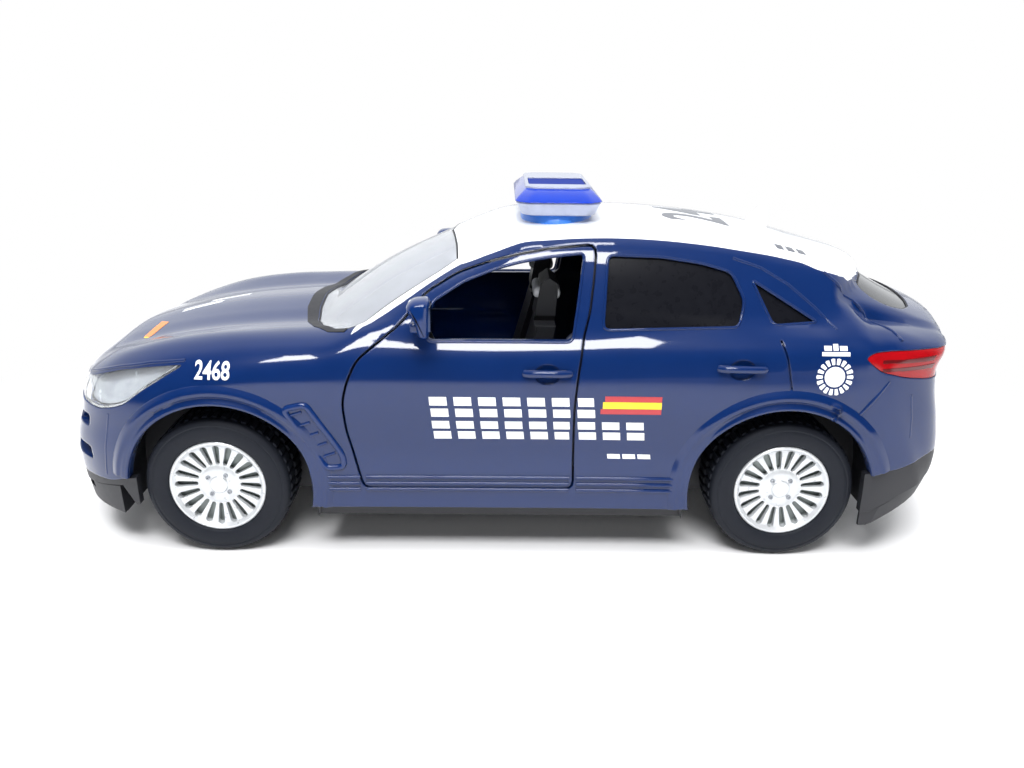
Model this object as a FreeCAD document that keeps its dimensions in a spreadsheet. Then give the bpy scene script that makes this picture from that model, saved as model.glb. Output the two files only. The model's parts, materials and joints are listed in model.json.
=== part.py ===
import FreeCAD, Part
import math
import os
import Sketcher

# Die-cast toy patrol car, a crossover coupe with a light bar.
# Millimetres. +X to the nose, +Y to the left side of the car, +Z up, ground at z = 0.

V = FreeCAD.Vector
doc = FreeCAD.newDocument("toy_patrol_car")
sheet = doc.addObject("Spreadsheet::Sheet", "Sizes")

SIZES = [
    ("body_length", 117.0),
    ("body_width", 48.4),
    ("wheel_base", 72.0),
    ("sill_height", 7.0),
    ("belt_height", 29.3),
    ("roof_height", 41.8),
    ("wall", 1.4),
    ("door_gap", 0.28),
    ("tyre_radius", 9.3),
    ("tyre_width", 8.0),
    ("wheel_tuck", 1.8),
    ("arch_gap", 2.3),
    ("arch_shift", 0.7),
    ("hub_radius", 6.1),
    ("hub_slots", 20),
    ("axle_radius", 0.9),
    ("bearing_slack", 0.06),
    ("hinge_setback", 1.65),
    ("hinge_depth", 0.9),
    ("hinge_pin_radius", 0.5),
    ("floor_height", 5.0),
    ("floor_thick", 1.6),
    ("tub_floor", 8.2),
    ("seat_width", 10.6),
    ("seat_offset", 9.3),
    ("wheel_rim_radius", 3.6),
    ("bar_length", 23.0),
    ("bar_width", 11.2),
    ("bar_middle_x", -7.1),
    ("bar_gap", 0.4),
    ("bar_base_rise", 1.7),
    ("bar_lens_rise", 1.8),
]

for row, (name, value) in enumerate(SIZES, start=1):
    sheet.set("A%d" % row, name)
    sheet.set("B%d" % row, str(value))
    sheet.setAlias("B%d" % row, name)
doc.recompute()


def size(name):
    """One driving dimension as a number."""
    return float(getattr(sheet, name))


WALL = size("wall")
GAP = size("door_gap")
WHEEL_X = size("wheel_base") / 2.0
AXLE_Z = size("tyre_radius")
HALF = size("body_length") / 2.0
FLANK = size("body_width") / 2.0
SILL = size("sill_height")
BELT = size("belt_height")
CROWN_Z = size("roof_height")
ARCH = size("tyre_radius") + size("arch_gap")
ARCH_X = WHEEL_X - size("arch_shift")
FLOOR = size("floor_height")
TOP = FLOOR + size("floor_thick")
WHEEL_FACE = FLANK - size("wheel_tuck")


# The drawn stations below belong to a car 117 long and 48.4 wide on a 72 wheel base, with its sill
# at 7, its belt at 29.3 and its roof at 41.8. They move with the sizes: between the wheels with the
# wheel base, in front and behind with the overhangs, and in height between sill, belt and roof.

def sx(x):
    """A drawn station along the car."""
    if abs(x) <= 36.0:
        return x * WHEEL_X / 36.0
    return math.copysign(WHEEL_X + (abs(x) - 36.0) * (HALF - WHEEL_X) / 22.5, x)


def ox(length):
    """A drawn length in an overhang."""
    return length * (HALF - WHEEL_X) / 22.5


def sy(y):
    """A drawn distance from the middle."""
    return y * FLANK / 24.2


def sz(z):
    """A drawn height."""
    if z <= 0:
        return z
    if z <= 7.0:
        return z * SILL / 7.0
    if z <= 29.3:
        return SILL + (z - 7.0) * (BELT - SILL) / 22.3
    return BELT + (z - 29.3) * (CROWN_Z - BELT) / 12.5


def elevation(points):
    """A side view outline, by length and height."""
    return [(sx(x), sz(z)) for x, z in points]


def plan_of(points):
    """A plan outline, by length and width."""
    return [(sx(x), sy(y)) for x, y in points]


def front_view(points):
    """A front view outline, by width and height."""
    return [(sy(y), sz(z)) for y, z in points]


def across(rows, scale=None):
    """Values by distance from the middle."""
    return [(sy(y), scale(v) if scale else v) for y, v in rows]


# small helpers

def spline(points):
    """A smooth edge through points."""
    curve = Part.BSplineCurve()
    curve.interpolate([V(*p) for p in points])
    return curve.toShape()


def line(a, b):
    return Part.LineSegment(V(*a), V(*b)).toShape()


def table(rows, x):
    """Straight-line reading of a table of (x, value), in rising x."""
    if x <= rows[0][0]:
        return rows[0][1]
    for (x0, v0), (x1, v1) in zip(rows, rows[1:]):
        if x <= x1:
            return v0 + (v1 - v0) * (x - x0) / (x1 - x0)
    return rows[-1][1]


def solid_loft(wires):
    shape = Part.makeLoft(wires, True, False)
    if shape.Volume < 0:
        shape.reverse()
    return shape


def xz_prism(points, y0, y1):
    """A closed outline in X and Z, pushed from y0 to y1."""
    ring = [V(x, y0, z) for x, z in points]
    face = Part.Face(Part.makePolygon(ring + [ring[0]]))
    return face.extrude(V(0, y1 - y0, 0))


def xy_prism(points, z0, z1):
    ring = [V(x, y, z0) for x, y in points]
    face = Part.Face(Part.makePolygon(ring + [ring[0]]))
    return face.extrude(V(0, 0, z1 - z0))


def yz_prism(points, x0, x1):
    ring = [V(x0, y, z) for y, z in points]
    face = Part.Face(Part.makePolygon(ring + [ring[0]]))
    return face.extrude(V(x1 - x0, 0, 0))


def grown(points, by):
    """An outline moved outwards by a width (inwards if negative), with its corners kept."""
    ring = [V(x, y, 0) for x, y in points]
    wire = Part.makePolygon(ring + [ring[0]])
    moved = wire.makeOffset2D(by, 2)
    return [(v.Point.x, v.Point.y) for v in moved.OrderedVertexes]


def mirrored(shape):
    return shape.mirror(V(0, 0, 0), V(0, 1, 0))


def y_cylinder(radius, x, z, y0, y1):
    return Part.makeCylinder(radius, y1 - y0, V(x, y0, z), V(0, 1, 0))


# outer form of the car

# Half widths of the sides, by station: sill, tuck, widest, shoulder, belt.
DRAWN_SIDE = [
    (-62.0, 22.6, 22.4, 22.8, 21.2, 19.4, 28.6, 30.4),
    (-50.0, 23.0, 22.8, 23.3, 21.9, 20.2, 28.8, 30.4),
    (-36.0, 23.4, 23.1, 23.6, 22.0, 20.6, 28.9, 30.2),
    (-20.0, 22.9, 22.4, 23.1, 21.8, 20.6, 28.1, 29.6),
    (0.0, 22.8, 22.2, 23.0, 21.8, 20.6, 27.4, 29.0),
    (20.0, 22.9, 22.5, 23.1, 22.0, 20.7, 27.0, 28.9),
    (36.0, 23.4, 23.2, 23.6, 22.2, 20.4, 26.6, 28.6),
    (48.0, 23.2, 23.0, 23.4, 21.8, 19.8, 26.0, 28.2),
    (62.0, 22.8, 22.6, 23.0, 21.2, 19.2, 25.4, 28.0),
]
SIDE = [(sx(x), *[sy(w) for w in widths], sz(z_shoulder), sz(z_belt))
        for x, *widths, z_shoulder, z_belt in DRAWN_SIDE]

# How far the nose and the tail stand back from the middle, by distance from the middle.
NOSE_BACK = across([(0, 0.0), (6, 0.25), (9, 0.6), (11, 1.05), (14.5, 2.1), (18, 4.4), (21, 8.4), (23, 12.8),
                    (25, 19)], ox)
TAIL_BACK = across([(0, 0.0), (6, 0.15), (11, 0.55), (14.5, 0.95), (18, 1.7), (21, 4.0), (23, 8.5), (25, 15.0)], ox)

NOSE = elevation([(57.0, 3.0), (57.8, 6.0), (58.5, 10.6), (58.4, 13.9), (57.5, 16.9), (56.9, 19.7), (55.9, 22.0),
                  (54.2, 23.6)])
HOOD_MIDDLE = elevation([(54.2, 23.6), (52.0, 24.8), (48.2, 26.1), (44.0, 27.1), (38.0, 28.1), (30.0, 28.9),
                         (23.5, 29.4)])
HOOD_CREST = elevation([(49.8, 23.6), (46.6, 25.4), (43.5, 26.6), (40.5, 27.4), (34.0, 28.3), (27.5, 28.6),
                        (21.9, 28.9)])
TAIL = elevation([(-58.0, 29.4), (-57.7, 27.6), (-56.9, 25.2), (-57.0, 23.0), (-57.9, 18.6), (-58.5, 14.5),
                  (-58.4, 12.0), (-57.5, 9.0), (-56.8, 3.0)])
HOOD_DROP = across([(0, 0.0), (6, 0.35), (11, 0.75), (14.5, 0.35), (18, 0.0), (21, 0.9), (23, 2.4), (25, 5.0)])
TAIL_DROP = across([(0, 0.0), (11, 0.3), (14.5, 0.5), (18, 0.9), (21, 2.0), (23, 3.6), (25, 6.0)])


def side_sections(inset, low):
    wires = []
    for x, sill, tuck, wide, shoulder, belt, z_shoulder, z_belt in SIDE:
        right = [
            (x, sill - inset, low),
            (x, sill - inset, SILL),
            (x, (sill + tuck) / 2 + 0.1 - inset, sz(10.5)),
            (x, tuck - inset, sz(13.8)),
            (x, wide - inset, sz(21.5)),
            (x, wide - 0.35 - inset, sz(24.8)),
            (x, shoulder - inset, z_shoulder - inset * 0.4),
        ]
        crease = right[-1]
        edge = (x, belt - inset, z_belt - inset * 0.3)
        top = (x, belt - 1.8 - inset, sz(34.0))
        left = [(x, -y, z) for x, y, z in right]
        wires.append(Part.Wire([
            line(left[0], right[0]),
            spline(right),
            line(crease, edge),
            line(edge, top),
            line(top, (x, -top[1], top[2])),
            line((x, -top[1], top[2]), (x, -edge[1], edge[2])),
            line((x, -edge[1], edge[2]), left[-1]),
            spline(left[::-1]),
        ]))
    return wires


def length_sections(inset, low):
    wires = []
    for drawn_y in (-25, -23, -21, -18, -14.5, -11, -6, 0, 6, 11, 14.5, 18, 21, 23, 25):
        y = sy(drawn_y)
        off = abs(y)
        nose_back = table(NOSE_BACK, off) + inset
        tail_back = table(TAIL_BACK, off) + inset
        share = min(1.0, table(NOSE_BACK, off) / ox(4.4))
        beyond = max(0.0, table(NOSE_BACK, off) - ox(4.4))
        drop = table(HOOD_DROP, off) + inset
        nose = [(x - nose_back, y, z) for x, z in NOSE]
        nose[0] = (nose[0][0], y, low)
        hood = []
        for i, ((xm, zm), (xc, zc)) in enumerate(zip(HOOD_MIDDLE, HOOD_CREST)):
            fade = 1.0 - i / 6.0
            x = xm + (xc - xm) * share - (beyond + inset) * fade
            hood.append((x, y, zm + (zc - zm) * share - drop * min(1.0, 0.35 + i * 0.3)))
        hood[0] = (hood[0][0], y, nose[-1][2] - inset * 0.5)
        nose[-1] = hood[0]
        fall = table(TAIL_DROP, off) + inset
        tail = [(x + tail_back, y, z) for x, z in TAIL]
        tail[0] = (tail[0][0], y, TAIL[0][1] - fall)
        tail[1] = (tail[1][0], y, TAIL[1][1] - fall * 0.7)
        tail[-1] = (tail[-1][0], y, low)
        cabin_front = (sx(18.0), y, sz(30.2) - inset)
        cabin_rear = (sx(-40.0), y, sz(30.6) - inset)
        deck = [cabin_rear, (sx(-48.0), y, sz(30.5) - inset - 0.3 * table(TAIL_DROP, off)), tail[0]]
        wires.append(Part.Wire([
            line(tail[-1], nose[0]),
            spline(nose),
            spline(hood),
            line(hood[-1], cabin_front),
            line(cabin_front, cabin_rear),
            spline(deck),
            spline(tail),
        ]))
    return wires


# Half widths of the cabin above the belt, by height, and how much it narrows by station.
CABIN_WIDTH = [(sz(z), sy(w)) for z, w in
               [(26.0, 20.9), (29.3, 20.55), (31.5, 19.7), (34.0, 18.6), (36.5, 17.4), (38.8, 16.1), (41.0, 14.6)]]
CABIN_NARROW = [(sx(x), narrow) for x, narrow in
                [(-62, 5.0), (-54, 4.4), (-46, 3.2), (-38, 1.9), (-30, 0.9), (-20, 0.25), (-6, 0.0), (8, 0.15),
                 (22, 0.6), (34, 1.2)]]
WINDSCREEN_BACK = across([(0, 0.0), (6, 0.45), (11, 1.6), (14, 2.9), (16.5, 4.6), (19, 7.0), (21, 9.6)])
HEADER_BACK = across([(0, 0.0), (6, 0.35), (11, 1.4), (14, 2.5), (16.5, 3.9), (19, 5.6), (21, 7.2)])
CROWN = across([(0, 0.0), (6, 0.15), (11, 0.6), (14, 1.1), (16.5, 1.75), (19, 2.9), (21, 4.4)])
SPOILER_BACK = across([(0, 0.0), (6, 0.5), (11, 2.2), (14, 4.0), (16.5, 6.2), (19, 9.0), (21, 12.0)])
GLASS_BACK = across([(0, 0.0), (6, 0.6), (11, 2.3), (14, 4.2), (16.5, 6.4), (19, 9.0), (21, 12.0)])
ROOF = elevation([(4.0, 39.9), (0.6, 41.0), (-5.0, 41.6), (-12.0, 41.8), (-20.0, 41.6), (-28.0, 40.9),
                  (-35.0, 39.8), (-41.5, 38.1)])


def cabin_sections(inset):
    wires = []
    for drawn_x in (-62, -54, -46, -38, -30, -20, -6, 8, 22, 34):
        x = sx(drawn_x)
        narrow = table(CABIN_NARROW, x)
        right = []
        for z, w in CABIN_WIDTH:
            right.append((x, w - narrow * max(0.0, (z - sz(28.0))) / 10.0 - inset, z))
        cap = (x, right[-1][1] - 2.6, sz(46.0))
        left = [(x, -y, z) for x, y, z in right]
        wires.append(Part.Wire([
            line(left[0], right[0]),
            spline(right),
            line(right[-1], cap),
            line(cap, (x, -cap[1], cap[2])),
            line((x, -cap[1], cap[2]), left[-1]),
            spline(left[::-1]),
        ]))
    return wires


def roof_sections(inset):
    wires = []
    for drawn_y in (-21, -19, -16.5, -14, -11, -6, 0, 6, 11, 14, 16.5, 19, 21):
        y = sy(drawn_y)
        off = abs(y)
        crown = table(CROWN, off) + inset
        foot = (sx(28.6) - table(WINDSCREEN_BACK, off) - inset * 2.0, y, sz(26.0))
        mid_back = (table(WINDSCREEN_BACK, off) + table(HEADER_BACK, off)) / 2
        mid = (sx(16.2) - mid_back - inset * 2.0, y, sz(34.2) - crown * 0.3)
        header = (sx(7.1) - table(HEADER_BACK, off) - inset * 1.2, y, sz(38.7) - crown)
        shift = table(HEADER_BACK, off)
        roof = [header]
        for i, (x, z) in enumerate(ROOF):
            roof.append((x - shift * (1.0 - min(1.0, i / 4.0)), y, z - crown))
        back = table(SPOILER_BACK, off) + inset * 1.2
        tip = (sx(-48.6) + back, y, sz(36.3) - crown)
        roof.append(tip)
        under = (sx(-48.0) + back, y, sz(35.2) - crown)
        sill = (sx(-56.2) + table(GLASS_BACK, off) + inset * 1.8, y, sz(29.8) - inset * 0.5)
        low = (sx(-57.2) + table(GLASS_BACK, off) + inset * 1.8, y, sz(26.0))
        wires.append(Part.Wire([
            line(low, foot),
            spline([foot, mid, header]),
            spline(roof),
            line(tip, under),
            line(under, sill),
            line(sill, low),
        ]))
    return wires


def car_form(inset, low):
    """The whole car as one block, smaller all round by the inset."""
    lower = solid_loft(side_sections(inset, low - 1)).common(solid_loft(length_sections(inset, low)))
    cabin = solid_loft(cabin_sections(inset)).common(solid_loft(roof_sections(inset)))
    return lower.fuse(cabin)


outer = car_form(0.0, 3.0)
inner = car_form(WALL, -2.0)
skin_inner = car_form(0.32, -1.0)
shell = outer.cut(inner)

# outlines shared by pieces

# The bottom edge of the casting: the black base shows below it at the nose and the tail.
BASE_SPLIT = elevation([(-70, 14.0), (-58.5, 12.6), (-47.0, 7.0), (46.5, 7.0), (48.0, 9.3), (59.0, 7.0), (70, 5.0), (70, -5), (-70, -5)])

DOOR = elevation([(17.15, 9.8), (18.1, 13.5), (19.0, 17.4), (19.3, 21.2), (18.7, 23.7), (17.5, 26.3), (15.4, 27.9),
        (12.4, 30.2), (9.4, 33.8), (5.4, 36.2), (1.2, 37.7), (-2.1, 38.6), (-5.6, 39.2), (-11.5, 39.75),
        (-11.1, 36.0), (-10.6, 32.0), (-9.8, 29.0), (-9.1, 24.1), (-8.8, 20.4), (-9.0, 9.8)])
DOOR_WINDOW = elevation([(9.2, 29.1), (8.7, 32.7), (4.8, 35.1), (0.9, 36.6), (-2.1, 37.4), (-5.6, 38.0), (-10.1, 38.5),
               (-9.3, 33.0), (-8.7, 29.5)])
REAR_WINDOW = elevation([(-12.3, 30.3), (-12.9, 38.5), (-19.5, 38.1), (-24.6, 37.3), (-28.1, 36.2), (-29.5, 33.7), (-28.9, 31.0)])
QUARTER_WINDOW = elevation([(-30.8, 35.2), (-32.6, 31.1), (-38.2, 31.6)])
WINDSCREEN = plan_of([(24.6, 0.0), (24.2, 6.0), (22.7, 12.0), (19.6, 16.6), (5.4, 14.4), (6.4, 9.0), (7.2, 0.0)])
BACKLIGHT = plan_of([(-48.9, 0.0), (-48.0, 7.0), (-45.9, 12.2), (-52.4, 13.0), (-54.6, 8.0), (-55.6, 0.0)])
HEADLAMP = elevation([(39.7, 24.5), (47.6, 24.2), (53.0, 23.3), (60.0, 22.9), (60.0, 19.6), (50.4, 19.1), (45.5, 21.6)])
TAIL_LAMP = elevation([(-44.4, 27.8), (-46.3, 25.4), (-52.8, 22.9), (-62.0, 23.4), (-62.0, 27.2), (-54.3, 27.9)])
GRILLE = front_view([(-9.0, 20.9), (9.0, 20.9), (10.0, 18.5), (7.6, 13.6), (-7.6, 13.6), (-10.0, 18.5)])


def both_sides(half):
    """A plan outline from its left half."""
    return half + [(x, -y) for x, y in half[::-1] if y > 0]


def wheel_cylinders(radius, y0, y1):
    tools = []
    for x in (ARCH_X, -ARCH_X):
        tools.append(y_cylinder(radius, x, AXLE_Z, y0, y1))
        tools.append(y_cylinder(radius, x, AXLE_Z, -y1, -y0))
    return tools


# body casting and doors

split = xz_prism(BASE_SPLIT, -40, 40)
casting = shell.cut(split)
casting = casting.cut(Part.makeCompound(wheel_cylinders(ARCH, sy(12.0), sy(30.0))))

# A rolled lip stands out round each wheel opening.
lip_section = [(ARCH, FLANK - 3.4), (ARCH, FLANK - 0.2), (ARCH + 0.5, FLANK), (ARCH + 1.2, FLANK - 0.3),
               (ARCH + 1.6, FLANK - 0.9), (ARCH + 2.2, FLANK - 1.8), (ARCH + 2.2, FLANK - 3.4)]
for x in (ARCH_X, -ARCH_X):
    ring = [V(x + r, y, AXLE_Z) for r, y in lip_section]
    lip = Part.Face(Part.makePolygon(ring + [ring[0]])).revolve(V(x, 0, AXLE_Z), V(0, 1, 0), 360)
    lip = lip.cut(split)
    lip = lip.cut(Part.makeBox(60, 10, SILL + 5.0, V(x - 30, FLANK - 5.2, -5)))
    casting = casting.fuse([lip, mirrored(lip)])

door_block = xz_prism(DOOR, sy(13.0), sy(30.0))
door_hole = xz_prism(grown(DOOR, GAP), sy(13.0), sy(30.0))
door_panel = shell.common(door_block).cut(xz_prism(DOOR_WINDOW, sy(10.0), sy(30.0)))
holes = [
    xy_prism(both_sides(WINDSCREEN), sz(26.0), sz(46.0)),
    xy_prism(both_sides(BACKLIGHT), sz(27.0), sz(36.2)),
    yz_prism(GRILLE, sx(50.0), sx(65.0)),
]
paired_holes = [
    door_hole,
    xz_prism(REAR_WINDOW, sy(10.0), sy(30.0)),
    xz_prism(QUARTER_WINDOW, sy(10.0), sy(30.0)),
    xz_prism(HEADLAMP, sy(11.0), sy(30.0)),
    xz_prism(TAIL_LAMP, sy(11.5), sy(30.0)),
]
for hole in paired_holes:
    holes += [hole, mirrored(hole)]
casting = casting.cut(holes)

# The sill carries a boss with a blind bore for each door's lower pin.
DOOR_FOOT = DOOR[0][1]
HINGE_X = DOOR[0][0] - size("hinge_setback")
HINGE_Y = sy(22.9) - size("hinge_depth")
PIN = size("hinge_pin_radius")
boss_foot = SILL + 0.2
boss = Part.makeBox(4.0, 2.2, DOOR_FOOT - 0.3 - boss_foot, V(HINGE_X - 2.0, HINGE_Y - 1.6, boss_foot))
bore = Part.makeCylinder(PIN + size("bearing_slack"), 2.2, V(HINGE_X, HINGE_Y, SILL + 0.9))
casting = casting.fuse([boss, mirrored(boss)])

pin_foot = SILL + 1.2
pin = Part.makeCylinder(PIN, DOOR_FOOT + 0.8 - pin_foot, V(HINGE_X, HINGE_Y, pin_foot))
door_left_shape = door_panel.fuse(pin)

# Three grooves run along the foot of each door and the panels beside it.
cuts = [bore]
grooves = []
for drawn_z in (10.6, 11.3, 12.0):
    z = sz(drawn_z)
    strip = xz_prism([(sx(-23.1), z), (sx(22.8), z), (sx(22.8), z + 0.22), (sx(-23.1), z + 0.22)], sy(15.0), sy(30.0))
    grooves.append(strip.cut(skin_inner))
door_left_shape = door_left_shape.cut(grooves)

# Seams pressed into the casting at the rear door.
seam = xz_prism(elevation([(-34.0, 30.2), (-35.5, 22.0), (-35.2, 22.0), (-33.7, 30.2)]), sy(15.0), sy(30.0)).cut(skin_inner)
cuts += grooves + [seam]

# Door handles: a bar over a round dish.


def handle(x0, x1, z):
    middle = (sx(x0) + sx(x1)) / 2
    dish = Part.makeSphere(1.9, V(middle, sy(24.1), sz(z)))
    ends = [(-2.9, -0.2), (-2.5, -0.38), (2.5, -0.38), (2.9, -0.2), (2.9, 0.2), (2.5, 0.38), (-2.5, 0.38), (-2.9, 0.2)]
    bar = xz_prism([(middle + a, sz(z) + b) for a, b in ends], sy(21.6), sy(23.3))
    return dish, bar


front_dish, front_bar = handle(-8.3, -2.8, 25.0)
rear_dish, rear_bar = handle(-32.0, -26.2, 25.9)
door_left_shape = door_left_shape.cut(front_dish).fuse(front_bar)
cuts.append(rear_dish)
casting = casting.cut(cuts + [mirrored(tool) for tool in cuts])

# Vent frame behind each front wheel, with short ribs inside it.
VENT = elevation([(26.6, 20.4), (23.9, 21.0), (19.9, 14.2), (19.6, 12.5), (21.9, 12.3)])
vent = xz_prism(VENT, sy(22.0), sy(23.5)).cut(xz_prism(grown(VENT, -0.55), sy(20.0), sy(30.0)))
for i in range(5):
    x = sx(21.2 + i * 0.95)
    z = sz(13.9 + i * 1.45)
    rib = [(x - 0.8, z + 0.35), (x + 1.3, z - 0.25), (x + 1.3, z + 0.1), (x - 0.8, z + 0.7)]
    vent = vent.fuse(xz_prism(rib, sy(22.0), sy(23.3)))
vent = vent.common(xz_prism(VENT, sy(20.0), sy(30.0)))
casting = casting.fuse([rear_bar, mirrored(rear_bar), vent, mirrored(vent)])


def place(name, shape):
    """One finished piece with its own placement."""
    solids = sorted(shape.Solids, key=lambda solid: solid.Volume)
    shape = solids[-1]
    piece = doc.addObject("Part::Feature", name)
    piece.Label = name
    piece.Shape = shape
    piece.Placement = FreeCAD.Placement(V(0, 0, 0), FreeCAD.Rotation())
    return piece


pieces = {}
pieces["body_shell"] = place("body_shell", casting)
pieces["door_left"] = place("door_left", door_left_shape)
pieces["door_right"] = place("door_right", mirrored(door_left_shape))


# glazing, lamps and grille

FORMS = {0.0: outer, WALL: inner}


def form_at(depth):
    """The block at one depth below the paint, kept once made."""
    if depth not in FORMS:
        FORMS[depth] = car_form(depth, -2.0)
    return FORMS[depth]


def layer_in(prism, near, far):
    """What a prism holds of the wall between two depths below the paint."""
    return prism.common(form_at(near)).cut(form_at(far))


def glazing(plug_prism, flange_prism, keep_out):
    plug = layer_in(plug_prism, 0.15, WALL + 0.7)
    flange = layer_in(flange_prism, WALL + 0.02, WALL + 0.7)
    pane = plug.fuse(flange)
    if keep_out is not None:
        pane = pane.cut(keep_out)
    return pane


screen_plan = both_sides(WINDSCREEN)
door_sweep = xz_prism(grown(DOOR, GAP + 0.1), sy(13.0), sy(30.0))
door_sweeps = door_sweep.fuse(mirrored(door_sweep))
windscreen = glazing(xy_prism(grown(screen_plan, -0.04), sz(26.0), sz(46.0)),
                     xy_prism(grown(screen_plan, 0.9), sz(28.0), sz(46.0)), door_sweeps)
pieces["windscreen"] = place("windscreen", windscreen)
backlight_plan = both_sides(BACKLIGHT)
backlight = glazing(xy_prism(grown(backlight_plan, -0.04), sz(28.6), sz(36.0)),
                    xy_prism(grown(backlight_plan, 0.5), sz(29.4), sz(36.5)), None)
pieces["rear_window"] = place("rear_window", backlight)

side_plug = xz_prism(grown(REAR_WINDOW, -0.04), sy(10.0), sy(30.0))
side_plug = side_plug.fuse(xz_prism(grown(QUARTER_WINDOW, -0.04), sy(10.0), sy(30.0)))
side_rim = elevation([(-12.6, 29.9), (-12.6, 38.9), (-25.0, 38.2), (-31.0, 36.0), (-38.6, 32.2), (-38.6, 30.9)])
side_flange = xz_prism(side_rim, sy(10.0), sy(30.0))
side_left = glazing(side_plug, side_flange, None)
pieces["side_glazing_left"] = place("side_glazing_left", side_left)
pieces["side_glazing_right"] = place("side_glazing_right", mirrored(side_left))

head_lamp = layer_in(xz_prism(grown(HEADLAMP, -0.05), sy(11.0) + 0.05, sy(30.0)), 0.15, 2.9)
tail_lamp = layer_in(xz_prism(grown(TAIL_LAMP, -0.05), sy(11.5) + 0.05, sy(30.0)), 0.15, 2.9)
pieces["headlamp_left"] = place("headlamp_left", head_lamp)
pieces["headlamp_right"] = place("headlamp_right", mirrored(head_lamp))
pieces["tail_lamp_left"] = place("tail_lamp_left", tail_lamp)
pieces["tail_lamp_right"] = place("tail_lamp_right", mirrored(tail_lamp))

grille_plan = grown(GRILLE, -0.05)
grille = layer_in(yz_prism(grille_plan, sx(48.0), sx(65.0)), 0.15, 2.9)
for i in range(4):
    z = sz(14.5 + i * 1.6)
    slot = yz_prism([(sy(-8.9), z), (sy(8.9), z), (sy(8.9), z + 0.95), (sy(-8.9), z + 0.95)], sx(48.0), sx(65.0))
    grille = grille.cut(layer_in(slot, 0.0, WALL + 0.02))
pieces["grille"] = place("grille", grille)


# sketch helpers for the turned and padded pieces

def plane_of(body, role):
    return [f for f in body.Origin.OriginFeatures if f.Role == role][0]


def sketch_on(body, name, role, offset=0.0):
    sketch = body.newObject("Sketcher::SketchObject", name)
    sketch.AttachmentSupport = [(plane_of(body, role), "")]
    sketch.MapMode = "FlatFace"
    sketch.AttachmentOffset = FreeCAD.Placement(V(0, 0, offset), FreeCAD.Rotation())
    return sketch


def outline(sketch, points, driven=None):
    """A closed outline of straight edges. Driven: {corner: (axis, expression)}."""
    first = sketch.GeometryCount
    count = len(points)
    for i in range(count):
        a = points[i]
        b = points[(i + 1) % count]
        sketch.addGeometry(Part.LineSegment(V(a[0], a[1], 0), V(b[0], b[1], 0)), False)
    for i in range(count):
        sketch.addConstraint(Sketcher.Constraint("Coincident", first + i, 2, first + (i + 1) % count, 1))
    for corner, (axis, rule) in (driven or {}).items():
        kind = "DistanceX" if axis == "x" else "DistanceY"
        value = points[corner][0 if axis == "x" else 1]
        index = sketch.addConstraint(Sketcher.Constraint(kind, -1, 1, first + corner, 1, float(value)))
        sketch.setExpression("Constraints[%d]" % index, rule)


def circle(sketch, x, y, radius, rule=None):
    index = sketch.addGeometry(Part.Circle(V(x, y, 0), V(0, 0, 1), radius), False)
    if x == 0 and y == 0:
        sketch.addConstraint(Sketcher.Constraint("Coincident", index, 3, -1, 1))
    which = sketch.addConstraint(Sketcher.Constraint("Radius", index, float(radius)))
    if rule:
        sketch.setExpression("Constraints[%d]" % which, rule)


def new_body(name):
    body = doc.addObject("PartDesign::Body", name)
    body.Label = name
    pieces[name] = body
    return body


def pad(body, sketch, name, length, rule=None, both=False):
    feature = body.newObject("PartDesign::Pad", name)
    feature.Profile = sketch
    feature.Length = length
    if rule:
        feature.setExpression("Length", rule)
    if both:
        feature.SideType = "Symmetric"
    sketch.Visibility = False
    return feature


# wheels and axles

TYRE_R = size("tyre_radius")
TYRE_W = size("tyre_width")
HUB_R = size("hub_radius")


def add_tyre(name, x, side):
    """A tyre turned about the axle: side wall, shoulder and tread."""
    body = new_body(name)
    sketch = sketch_on(body, name + "_section", "XY_Plane")
    # Section in (radius, width from the outer face inwards).
    w = TYRE_W
    points = [(HUB_R, 0.35), (TYRE_R - 1.1, 0.0), (TYRE_R, 1.3), (TYRE_R, w), (HUB_R, w)]
    outline(sketch, points, {
        0: ("x", "Sizes.hub_radius"),
        1: ("x", "Sizes.tyre_radius - 1.1"),
        2: ("x", "Sizes.tyre_radius"),
        3: ("x", "Sizes.tyre_radius"),
        4: ("x", "Sizes.hub_radius"),
    })
    turned = body.newObject("PartDesign::Revolution", name + "_turned")
    turned.Profile = sketch
    turned.ReferenceAxis = (sketch, ["V_Axis"])
    turned.Angle = 360.0
    body.Tip = turned
    angle = 180.0 if side > 0 else 0.0
    body.Placement = FreeCAD.Placement(V(x, side * WHEEL_FACE, AXLE_Z), FreeCAD.Rotation(V(0, 0, 1), angle))
    return body


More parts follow.
